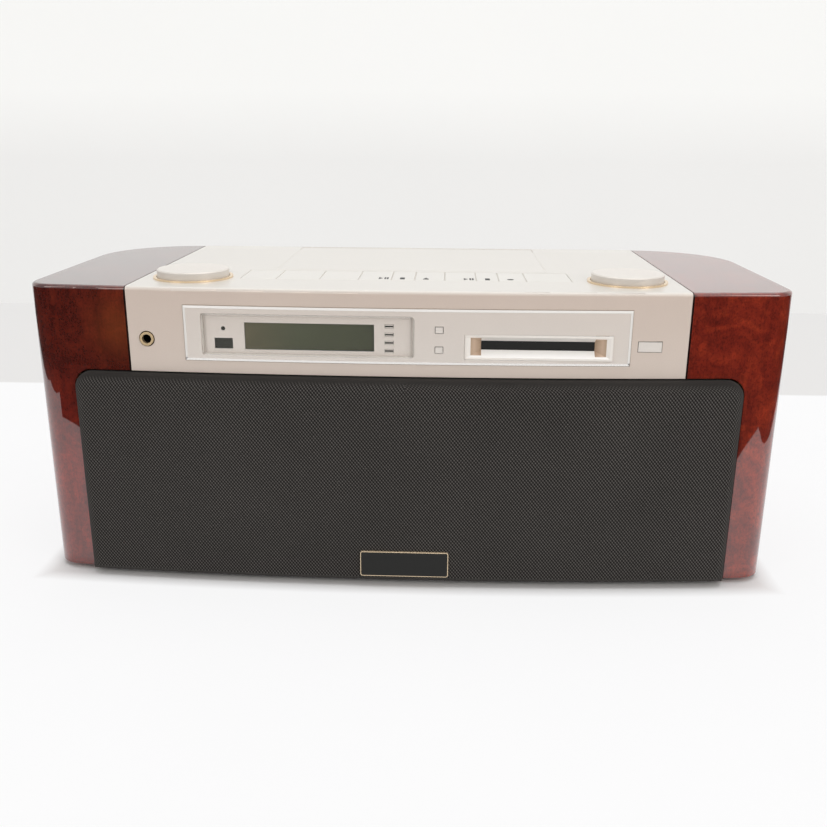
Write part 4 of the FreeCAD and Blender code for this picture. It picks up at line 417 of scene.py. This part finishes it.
def turned(name, color, node, metal=0.9):
    """Metal or satin paint with the fine rings of a lathe, round the upright axis of a node."""
    middle = Box(node)
    s = Shader(name)
    x, y = s.place()[1:3]
    radius = s.distance(s.math("SUBTRACT", x, middle.middle_x * MM),
                        s.math("SUBTRACT", y, middle.middle_y * MM))
    noise = s.node("ShaderNodeTexNoise", noise_dimensions="1D")
    s.link(s.math("MULTIPLY", radius, 5200.0), noise.inputs["W"])
    noise.inputs["Scale"].default_value = 1.0
    noise.inputs["Detail"].default_value = 2.0
    rings = noise.outputs["Fac"]
    s.set(color=s.tint(color, s.ramp(rings, (0.3, 0.93), (0.7, 1.07))), metal=metal, rough=0.3)
    s.set(normal=s.bump(rings, 0.12, 0.02, s.soft_edges(0.3)))
    return s.material


# Materials of one node

def md_mouth():
    """The slot's frame: satin lips, paler where they face up as a painted highlight, with gold cheeks at
    both ends of the slot, which carry a painted highlight at their middles and painted shade at their ends,
    and black behind.
    """
    middle, reach, fade = SLOT.middle_x - 0.05, 43.3 * MM, 5.5 * MM
    outer_left, outer_right, door_lap = SLOT.left + 2.55, SLOT.right - 2.65, 2
    cheek_front, black_front = SLOT.front + 1.3, SLOT_DOOR.front - 0.2
    s = Shader("slot_satin")
    point, x, y, z = s.place()
    left = s.between(x, outer_left, SLOT_DOOR.left + door_lap)
    right = s.between(x, SLOT_DOOR.right - door_lap, outer_right)
    cheek = s.product(s.math("ADD", left, right), s.between(y, low=cheek_front))
    # Lips that face up take the paler tone: a painted highlight.
    up = s.math("MULTIPLY", s.facing()[2], 1.4, clamp=True)
    lip = s.mix(up, (1.0, 0.955, 0.90), (1.0, 0.99, 0.965))
    cloud = s.noise(s.scaled(point, (1, 1, 3)), 160, 3, 0.5)
    # Gold is the cheeks' own colour; pale at each cheek's middle and brown at its ends is painted highlight
    # and shade.
    along = s.math("ABSOLUTE", s.math("SUBTRACT", s.from_middle(x, middle), reach))
    gold = s.ramp(s.math("DIVIDE", along, fade, clamp=True),
                  (0.0, (0.70, 0.53, 0.40)), (1.0, (0.36, 0.23, 0.145)))
    gold = s.mix(0.3, gold, s.mix(cloud, (0.48, 0.33, 0.22), (0.64, 0.48, 0.35)))
    tone = s.mix(cheek, lip, gold)
    tone = s.mix(s.between(y, low=black_front), tone, (0.01, 0.01, 0.01))
    s.set(color=tone, metal=0.1, rough=0.3, coat=0.4, coat_rough=0.1)
    s.set(normal=s.bump(s.noise(point, 5200, 2, 0.6), 0.06, 0.02, s.soft_edges(0.4)))
    return s.material


def jack():
    """Gold collar with a black hole."""
    collar = Box("phones_jack")
    hole_radius, gold_radius, gold_depth = 3.18, 4.82, 3.23
    axis_z = collar.high - (collar.right - collar.left) / 2
    s = Shader("jack_gold")
    point, x, y, z = s.place()
    radius = s.distance(s.math("SUBTRACT", x, collar.middle_x * MM), s.math("SUBTRACT", z, axis_z * MM))
    gold = s.product(s.between(radius, hole_radius, gold_radius),
                     s.between(y, high=collar.front + gold_depth))
    s.set(color=s.mix(gold, (0.012, 0.011, 0.010), (0.92, 0.70, 0.42)), metal=s.math("MULTIPLY", gold, 0.45))
    s.set(rough=s.math("MULTIPLY_ADD", s.noise(point, 900, 2), 0.1, 0.2), normal=s.soft_edges(0.4))
    return s.material


def line_sockets():
    """Nickel sockets with white and red inserts in a black plate."""
    plate = Box("line_jacks")
    half_pitch, insert_radius, barrel_radius, insert_depth = 7 * MM, 3, 5, 1.75
    out_y = REAR.back + 0.5
    s = Shader("line_sockets")
    point, x, y, z = s.place()
    radius = s.distance(s.math("SUBTRACT", s.from_middle(x, plate.middle_x), half_pitch),
                        s.math("SUBTRACT", s.from_middle(z, plate.middle_z), half_pitch))
    barrel = s.product(s.between(radius, insert_radius, barrel_radius), s.between(y, low=out_y))
    insert = s.product(s.between(radius, high=insert_radius), s.between(y, low=out_y + insert_depth))
    fine = s.noise(point, 1800, 2, 0.5)
    tone = s.mix(fine, (0.010, 0.010, 0.010), (0.016, 0.016, 0.016))
    tone = s.mix(barrel, tone, (0.62, 0.62, 0.60))
    inserts = s.mix(s.between(x, low=plate.middle_x), (0.60, 0.03, 0.025), (0.78, 0.77, 0.74))
    s.set(color=s.mix(insert, tone, inserts), metal=barrel, rough=s.math("MULTIPLY_ADD", fine, 0.1, 0.3))
    return s.material


def aerial_posts():
    """Black block with one red and one black clamp."""
    s = Shader("aerial_posts")
    point, x, y, z = s.place()
    black = s.mix(s.noise(point, 1800, 2, 0.5), (0.010, 0.010, 0.010), (0.018, 0.018, 0.018))
    red = s.product(s.between(y, low=REAR.back + 0.5), s.between(x, low=Box("antenna_terminals").middle_x))
    s.set(color=s.mix(red, black, (0.45, 0.02, 0.018)), rough=0.42)
    return s.material


def display_glass():
    """Dark olive display behind glass, a little lighter to the left."""
    display = Box("lcd_module")
    s = Shader("display_olive")
    point, x, y, z = s.place()
    tone = s.ramp(s.share(x, display.left * MM, (display.right - display.left) * MM),
                  (0.0, (0.100, 0.092, 0.050)), (0.40, (0.062, 0.073, 0.038)), (1.0, (0.046, 0.056, 0.028)))
    cloud = s.noise(s.scaled(point, (1, 1, 2)), 45, 3, 0.5)
    s.set(color=s.tint(tone, s.ramp(cloud, (0.3, 0.88), (0.7, 1.12))), rough=0.16, spec=0.5)
    return s.material


def lamps():
    """The remote receiver and power lamp, dark, and pale bars with a thin dark slit in each."""
    node = Box("indicator_lamps")
    bars_left, first_slit, pitch = node.right - 11.5, (node.high - 1.1) * MM, 5.67 * MM
    s = Shader("lamp_plastic")
    point, x, y, z = s.place()
    steps = s.math("DIVIDE", s.math("SUBTRACT", first_slit, z), pitch)
    offset = s.math("ABSOLUTE", s.math("SUBTRACT", s.math("FRACT", s.math("ADD", steps, 0.5)), 0.5))
    slit = s.inside(offset, -1, 0.115, 0.02)
    pale = s.product(s.between(x, low=bars_left), s.math("SUBTRACT", 1.0, slit))
    dark = s.mix(s.noise(point, 1500, 2, 0.5), (0.014, 0.017, 0.013), (0.022, 0.026, 0.020))
    s.set(color=s.mix(pale, dark, (0.80, 0.745, 0.69)), rough=0.22, spec=0.4)
    return s.material


def clear_pane():
    """Clear plastic with a painted highlight: its polished rim is pale and less clear."""
    rim = 0.95
    s = Shader("clear_pane", rough=0.03, spec=0.6)
    point, x, y, z = s.place()
    core = s.product(s.between(x, WINDOW.left + rim, WINDOW.right - rim, 0.2),
                     s.between(z, WINDOW.low + rim, WINDOW.high - rim, 0.2))
    rim_highlight_tone = s.noise(point, 300, 2, 0.5)
    s.set(color=s.mix(rim_highlight_tone, (0.80, 0.76, 0.71), (0.88, 0.85, 0.80)))
    # The rim shows more of the pale colour: a painted highlight.
    s.set(alpha=s.math("MULTIPLY_ADD", core, -0.47, 0.50))
    return s.material


def trim_bright():
    """Bright satin on the raised panel's edge, more metallic along the bottom."""
    bottom_height = 1.6
    s = Shader("trim_bright")
    point, x, y, z = s.place()
    flake = s.noise(point, 3800, 2, 0.6)
    bottom = s.between(z, 0, PANEL.low + bottom_height)
    s.set(color=s.mix(flake, (0.88, 0.86, 0.83), (0.95, 0.935, 0.91)))
    s.set(metal=s.math("MULTIPLY_ADD", bottom, 0.7, 0.1), rough=s.math("MULTIPLY_ADD", flake, 0.06, 0.2))
    s.set(normal=s.bump(flake, 0.04, 0.02))
    return s.material


# The material of each node

def set_material(material, *names):
    for name in names:
        mesh = nodes[name].data
        mesh.materials.clear()
        mesh.materials.append(material)


def dress_outside():
    # Each satin paint takes one tone for upright faces and one for what faces up, and bevelled edges may be
    # made pale; the differences are painted light and shade.
    cover_front, cover_top = (0.775, 0.675, 0.60), (0.765, 0.735, 0.685)
    set_material(lacquer_wood(), "right_wing", "left_wing")
    set_material(champagne("cover_satin", cover_front, cover_top, holes=[EJECT_HOLE]), "upper_cover")
    set_material(champagne("lid_satin", cover_front, cover_top), "cd_lid")
    set_material(champagne("key_satin", (0.98, 0.95, 0.90), (0.785, 0.76, 0.71), edge=0.05), *KEYS)
    set_material(champagne("panel_satin", (0.84, 0.785, 0.73), (1.0, 0.985, 0.96), edge=0.12, edge_highlight=1.0,
                           holes=BUTTON_HOLES, windowed=True), "sub_panel")
    set_material(champagne("button_satin", (0.88, 0.84, 0.79), (0.98, 0.96, 0.93), edge_highlight=0.8,
                           holes=BUTTON_HOLES + [EJECT_HOLE]),
                 "display_button", "play_mode_button", "md_eject_button")
    set_material(cloth(), "grille_cloth")
    set_material(md_mouth(), "md_slot_frame")
    set_material(jack(), "phones_jack")
    set_material(line_sockets(), "line_jacks")
    set_material(aerial_posts(), "antenna_terminals")
    set_material(display_glass(), "lcd_module")
    set_material(lamps(), "indicator_lamps")
    set_material(clear_pane(), "display_window")
    set_material(plain("badge_black", (0.010, 0.010, 0.009), 0.3, spec=0.3), "badge_plate")
    for knob in ("left_knob", "right_knob"):
        set_material(turned(f"{knob}_satin", (0.80, 0.755, 0.70), knob, metal=0.15), knob)
    set_material(plain("rear_black", (0.018, 0.018, 0.018), 0.6, grain_scale=1400, grain=0.2, bump=0.5),
                 "rear_panel")
    set_material(plain("screw_black", (0.12, 0.12, 0.12), 0.35, 0.8), "screws")
    set_material(plain("rubber_black", (0.015, 0.015, 0.015), 0.7), "rubber_feet")


def dress_inside():
    set_material(plain("black_moulding", (0.012, 0.012, 0.012)),
                 "grille_frame", "md_slot_door", "cd_clamp", "ac_inlet")
    set_material(plain("raw_board", (0.36, 0.24, 0.13), 0.75, grain_scale=500, grain=0.25, bump=0.4),
                 "baffle_board", "base_plate", "inner_boards")
    set_material(plain("black_paint", (0.02, 0.02, 0.02), 0.35), "speaker_baskets")
    set_material(plain("magnet_grey", (0.09, 0.09, 0.095), 0.6), "speaker_magnets")
    set_material(plain("cone_black", (0.02, 0.02, 0.02), 0.8, grain=0.2, bump=0.5), "right_cone", "left_cone")
    set_material(plain("plated_steel", (0.55, 0.56, 0.57), 0.3, 0.9),
                 "md_drive", "lid_motor", "drive_motors", "mechanism_base")
    set_material(plain("board_green", (0.02, 0.13, 0.05), 0.4), "control_boards", "main_board")
    set_material(plain("gear_white", (0.72, 0.70, 0.64), 0.45), "lid_sector_gear", "lid_pinion", "feed_gear")
    set_material(plain("deck_grey", (0.035, 0.035, 0.04), bump=0.3), "cd_deck")
    set_material(turned("platter_metal", (0.6, 0.6, 0.61), "turntable"), "turntable")
    set_material(plain("pickup_dark", (0.10, 0.10, 0.11), 0.45, 0.5), "optical_pickup")
    set_material(plain("ground_rod", (0.7, 0.7, 0.72), 0.12, 1.0), "guide_rods", "lid_hinge_pins")
    set_material(plain("sink_metal", (0.55, 0.55, 0.57), 0.4, 0.9), "heat_sink")
    set_material(plain("core_black", (0.03, 0.03, 0.032)), "power_transformer")


dress_outside()
dress_inside()
RING_GOLD = plain("ring_gold", (0.88, 0.70, 0.48), 0.25, 0.6, grain=0.02)
set_material(RING_GOLD, "knob_rings")


# Small pieces that only the visual model has, in millimetres

def disc(x, y, radius):
    count = 28
    return [(x + radius * math.cos(math.tau * step / count), y + radius * math.sin(math.tau * step / count))
            for step in range(count)]


def oblong(x, y, half_width, half_height, radius):
    """An upright rectangle with round corners."""
    corners = ((1, -1, -90), (1, 1, 0), (-1, 1, 90), (-1, -1, 180))
    return [(x + side_x * (half_width - radius) + radius * math.cos(math.radians(start + turn)),
             y + side_y * (half_height - radius) + radius * math.sin(math.radians(start + turn)))
            for side_x, side_y, start in corners for turn in (0, 30, 60, 90)]


def slab(shape, outline, low, high):
    """A flat block with an outline in X and Y, between two heights."""
    under, over = ([shape.verts.new((x * MM, y * MM, z * MM)) for x, y in outline] for z in (low, high))
    shape.faces.new(over)
    shape.faces.new(under[::-1])
    for index in range(len(outline)):
        after = (index + 1) % len(outline)
        shape.faces.new((under[index], under[after], over[after], over[index]))


def frame_round(shape, rings):
    """Walls from each ring of points to the next, and from the last to the first."""
    rings = [[shape.verts.new((x * MM, y * MM, z * MM)) for x, y, z in ring] for ring in rings]
    for index, ring in enumerate(rings):
        after = rings[(index + 1) % len(rings)]
        for step in range(len(ring)):
            following = (step + 1) % len(ring)
            shape.faces.new((ring[step], ring[following], after[following], after[step]))
    bmesh.ops.recalc_face_normals(shape, faces=shape.faces)


def piece(name, shape, body, material):
    """A new visible piece on a body."""
    mesh = bpy.data.meshes.new(name)
    shape.to_mesh(mesh)
    shape.free()
    made = bpy.data.objects.new(name, mesh)
    scene.collection.objects.link(made)
    mesh.materials.append(material)
    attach(made, body)


# Signs on the keys

def sign(name, key, outlines, ink):
    """Flat shapes of ink, 0.04 mm thick, on a key's top."""
    top = Box(key).high
    shape = bmesh.new()
    for outline in outlines:
        slab(shape, outline, top + 0.001, top + 0.04)
    piece(name, shape, key, ink)


def sign_place(key, shift):
    """The middle of a key's sign, which lies shift to the right of the key's own middle."""
    setback = 9.75
    node = Box(key)
    return node.middle_x + shift, node.front + setback


def key_symbols():
    """Generic play and pause, stop, open and record signs."""
    ink = plain("ink_dark", (0.012, 0.012, 0.013), 0.55, grain=0.12)
    half_height = 4.0
    for player, shift in (("cd", 6.25), ("md", 6.1)):
        x, y = sign_place(f"{player}_play_key", shift)
        triangle = [(x - 3.7, y - 4.2), (x - 0.7, y), (x - 3.7, y + 4.2)]
        bars = [oblong(x + offset, y, 0.6, half_height, 0.2) for offset in (0.9, 2.7)]
        sign(f"{player}_play_sign", f"{player}_play_key", [triangle] + bars, ink)
    for player, shift in (("cd", -0.6), ("md", 0.05)):
        x, y = sign_place(f"{player}_stop_key", shift)
        sign(f"{player}_stop_sign", f"{player}_stop_key", [oblong(x, y, 1.7, half_height, 0.25)], ink)
    x, y = sign_place("lid_key", -2.75)
    triangle = [(x - 2.1, y - 1.2), (x + 2.1, y - 1.2), (x, y + half_height)]
    sign("lid_sign", "lid_key", [triangle, oblong(x, y - 3.2, 2.1, 0.9, 0.2)], ink)
    x, y = sign_place("record_key", -1.25)
    sign("record_sign", "record_key", [disc(x, y, 2.4)], ink)


# Rims, and pale fills that hide the shade in gaps

def badge_rim():
    """A thin gold frame round the badge's bare plate."""
    corner = 1
    foot, shoulder, crest = BADGE.back + 0.25, BADGE.front + 0.15, BADGE.front + 0.03
    profile = ((0.02, foot), (0.02, shoulder), (0.12, crest), (0.48, crest), (0.60, shoulder), (0.60, foot))
    rings = []
    for grow, y in profile:
        outline = oblong(BADGE.middle_x, BADGE.middle_z, BADGE.right - BADGE.middle_x + grow,
                         BADGE.high - BADGE.middle_z + grow, corner + grow)
        rings.append([(x, y, z) for x, z in outline])
    shape = bmesh.new()
    frame_round(shape, rings)
    piece("badge_rim", shape, "casing", RING_GOLD)


def pale_gap_fills():
    """Pale lips in the gaps round the keys and the disc lid, just under the top: painted light that hides
    the gaps' shade.
    """
    low, high = COVER.high - 0.8, COVER.high - 0.03
    keys = [Box(name) for name in KEYS]
    gap, flange, row_lap, margin = keys[1].left - keys[0].right, 1.6, 0.1, 0.01
    lid_gap, lid_lap, side_back = 0.5, 0.4, 96
    row_front, row_back = keys[0].front + flange - gap, keys[0].back - flange + gap
    shape = bmesh.new()

    def lip(left, right, front, back):
        slab(shape, [(left, front), (right, front), (right, back), (left, back)], low, high)

    key_ends = [keys[0].left - gap / 2] + [key.right + gap / 2 for key in keys]
    half = (gap - margin) / 2
    for end in key_ends:
        lip(end - half, end + half, row_front + margin, row_back - margin)
    row_left, row_right = key_ends[0] - row_lap, key_ends[-1] + row_lap
    lip(row_left, row_right, row_front + margin, row_front + gap - margin)
    lip(row_left, row_right, row_back - gap + margin, row_back - margin)
    outer, front = LID.right + lid_gap - 2 * margin, LID.front - lid_gap + margin
    lip(-outer, LID.left - 3 * margin, front, side_back)
    lip(LID.right + 3 * margin, outer, front, side_back)
    lip(-outer, outer, front, LID.front - 2 * margin)
    lip(LID.left - lid_lap, LID.right + lid_lap, LID.back - lid_gap, LID.back + lid_gap - 5 * margin)
    piece("top_gap_fills", shape, "casing",
          plain("gap_fill_pale", (0.78, 0.75, 0.70), 0.6, grain=0.03))


def panel_frame(name, profile, material):
    """A thin frame that follows the raised panel's outline and the front's bow. The profile says how far
    each of its corners lies outside the panel and proud of the front."""
    columns = 24
    rings = []
    for outward, proud in profile:
        left, right = PANEL.left - outward, PANEL.right + outward
        places = [left + (right - left) * step / columns for step in range(columns + 1)]
        way = [(x, PANEL.low - outward) for x in places]
        way += [(x, PANEL.high + outward) for x in reversed(places)]
        rings.append([(x, face_y(x) - proud, z) for x, z in way])
    shape = bmesh.new()
    frame_round(shape, rings)
    piece(name, shape, "casing", material)


def panel_shade_line():
    """A thin brown line of painted shade between the raised panel and the front, where the gap's shadow
    falls.
    """
    profile = ((0.1, -0.2), (0.15, 0.12), (0.65, 0.12), (0.75, 0.02), (0.75, -0.2))
    panel_frame("panel_shade_line", profile, plain("shade_line_brown", (0.36, 0.28, 0.22), 0.6, grain=0.1))


def panel_trim():
    """A bright sloping edge round the raised panel."""
    profile = ((0.3, 0.1), (0.3, 0.72), (-1.3, 1.14), (-1.4, 0.86), (-0.6, 0.5))
    panel_frame("panel_trim", profile, trim_bright())


key_symbols()
badge_rim()
pale_gap_fills()
panel_shade_line()
panel_trim()


# Floor, backdrop and light, in metres

FLOOR_HALF = 6
FLOOR_FRONT = -4
WALL_FOOT = 0.95
WALL_LEAN = 0.4
WALL_TOP = 3
CLOTH_BACK = 0.411


def stage_plane(name, corners, material):
    mesh = bpy.data.meshes.new(name)
    mesh.from_pydata(corners, [], [tuple(range(len(corners)))])
    made = bpy.data.objects.new(name, mesh)
    scene.collection.objects.link(made)
    mesh.materials.append(material)
    return made


def seen(shader, share, white):
    """Mixes white into a pale surface where the camera, a gloss or a glass sees it. Shadows stay, softer."""
    path = shader.node("ShaderNodeLightPath")
    looked = shader.math("MAXIMUM", path.outputs["Is Camera Ray"], path.outputs["Is Glossy Ray"])
    looked = shader.math("MAXIMUM", looked, path.outputs["Is Transmission Ray"])
    emission = shader.node("ShaderNodeEmission")
    shader.link(white, emission.inputs["Color"])
    both = shader.node("ShaderNodeMixShader")
    shader.link(shader.math("MULTIPLY", looked, share), both.inputs[0])
    shader.link(shader.bsdf.outputs[0], both.inputs[1])
    shader.link(emission.outputs[0], both.inputs[2])
    shader.link(both.outputs[0], shader.out.inputs[0])


def outside_footprint(s, x, y):
    """How far a point of the floor lies outside the object's plan, which is taken a little too large."""
    margin = 0.25
    corner = cad_box[1]
    bow = s.math("MULTIPLY_ADD", s.math("MULTIPLY", x, x), 1 / (2 * BOW_RADIUS * MM),
                 (CLOTH.front + margin) * MM)
    outside = s.math("MAXIMUM", s.math("SUBTRACT", bow, y),
                     s.math("SUBTRACT", y, corner.y + margin * MM))
    return s.math("MAXIMUM", outside, s.math("SUBTRACT", s.math("ABSOLUTE", x), corner.x))


def floor():
    """A white cloth, which ends some way behind the object, on a pale floor, with a painted shadow round the
    object's footprint.
    """
    edge_slope, edge_soft = 0.003, 0.006
    shadow_start, shadow_width, most_white = -0.002, 0.014, 0.84
    s = Shader("floor_white", rough=0.85, spec=0.2)
    point, x, y, z = s.place()
    on_cloth = s.inside(s.math("MULTIPLY_ADD", x, edge_slope, y), -9, CLOTH_BACK, edge_soft)
    white = s.ramp(s.noise(point, 7, 4, 0.6), (0.3, (0.88, 0.88, 0.88)), (0.7, (0.92, 0.92, 0.92)))
    to_wall = s.share(y, CLOTH_BACK, WALL_FOOT - CLOTH_BACK)
    grey = s.mix(to_wall, (0.74, 0.73, 0.72), (0.77, 0.765, 0.755))
    s.set(color=s.mix(on_cloth, grey, white))
    # Near the object's footprint less white is mixed in: a painted contact shadow.
    clear = s.share(outside_footprint(s, x, y), shadow_start, shadow_width)
    seen(s, s.math("MULTIPLY", clear, most_white), s.mix(on_cloth, (0.84, 0.83, 0.82), (0.99, 0.99, 0.995)))
    stage_plane("floor", [(-FLOOR_HALF, FLOOR_FRONT, 0), (FLOOR_HALF, FLOOR_FRONT, 0),
                          (FLOOR_HALF, WALL_FOOT, 0), (-FLOOR_HALF, WALL_FOOT, 0)], s.material)


def backdrop():
    """A pale wall that leans back, with painted light that makes it whiter towards its top."""
    white_start, white_rise = 0.26, 0.12
    s = Shader("backdrop_white", rough=0.9, spec=0.1)
    point, x, y, z = s.place()
    s.set(color=s.ramp(s.noise(point, 3, 4, 0.6), (0.3, (0.78, 0.777, 0.770)), (0.7, (0.82, 0.817, 0.810))))
    seen(s, 0.78, s.mix(s.share(z, white_start, white_rise), (0.90, 0.895, 0.88), (1.0, 1.0, 0.98)))
    back = WALL_FOOT + WALL_LEAN
    stage_plane("backdrop", [(-FLOOR_HALF, WALL_FOOT, 0), (FLOOR_HALF, WALL_FOOT, 0),
                             (FLOOR_HALF, back, WALL_TOP), (-FLOOR_HALF, back, WALL_TOP)], s.material)


def dark_card():
    """A dark sheet round the cloth that only reflections see. It is an outline of the cloth with the
    far corners added, so the cloth itself is a bay in it."""
    height, back, reach = 0.002, 0.7, 3
    cloth_edge = [(-0.95, back), (-0.80, -0.25), (-0.56, -0.50), (-0.457, -0.43), (-0.365, -0.36),
                  (0.365, -0.35), (0.455, -0.47), (0.587, -0.158), (0.66, 0.10), (0.80, back)]
    far_corners = [(reach, back), (reach, -reach), (-reach, -reach), (-reach, back)]
    dark = Shader("card_dark", color=(0.014, 0.011, 0.010), rough=0.9, spec=0.0)
    card = stage_plane("dark_card", [(x, y, height) for x, y in cloth_edge + far_corners], dark.material)
    card.visible_camera = False
    card.visible_shadow = False
    card.visible_diffuse = False


def lamp(name, place, aim, size, power, color=(1, 1, 1)):
    data = bpy.data.lights.new(name, "AREA")
    data.shape = "RECTANGLE"
    data.size, data.size_y = size
    data.energy = power
    data.color = color
    made = bpy.data.objects.new(name, data)
    scene.collection.objects.link(made)
    made.location = place
    made.rotation_euler = (Vector(aim) - Vector(place)).to_track_quat("-Z", "Y").to_euler()


def light():
    """A wide lamp above, a warm one to each side in front, and a pale surround."""
    aim, warm = (0, 0, 0.1), (1.0, 0.93, 0.86)
    lamp("top_light", (0.1, 0.15, 1.9), aim, (2.4, 1.8), 17)
    lamp("front_left", (-1.4, -1.6, 1.1), aim, (1.0, 1.0), 6, warm)
    lamp("front_right", (1.5, -1.5, 1.1), aim, (1.0, 1.1), 10, warm)
    world = bpy.data.worlds.new("world")
    scene.world = world
    world.use_nodes = True
    background = world.node_tree.nodes["Background"]
    background.inputs[0].default_value = (0.90, 0.90, 0.91, 1)
    background.inputs[1].default_value = 0.62


floor()
backdrop()
dark_card()
light()
scene.view_settings.view_transform = "Standard"
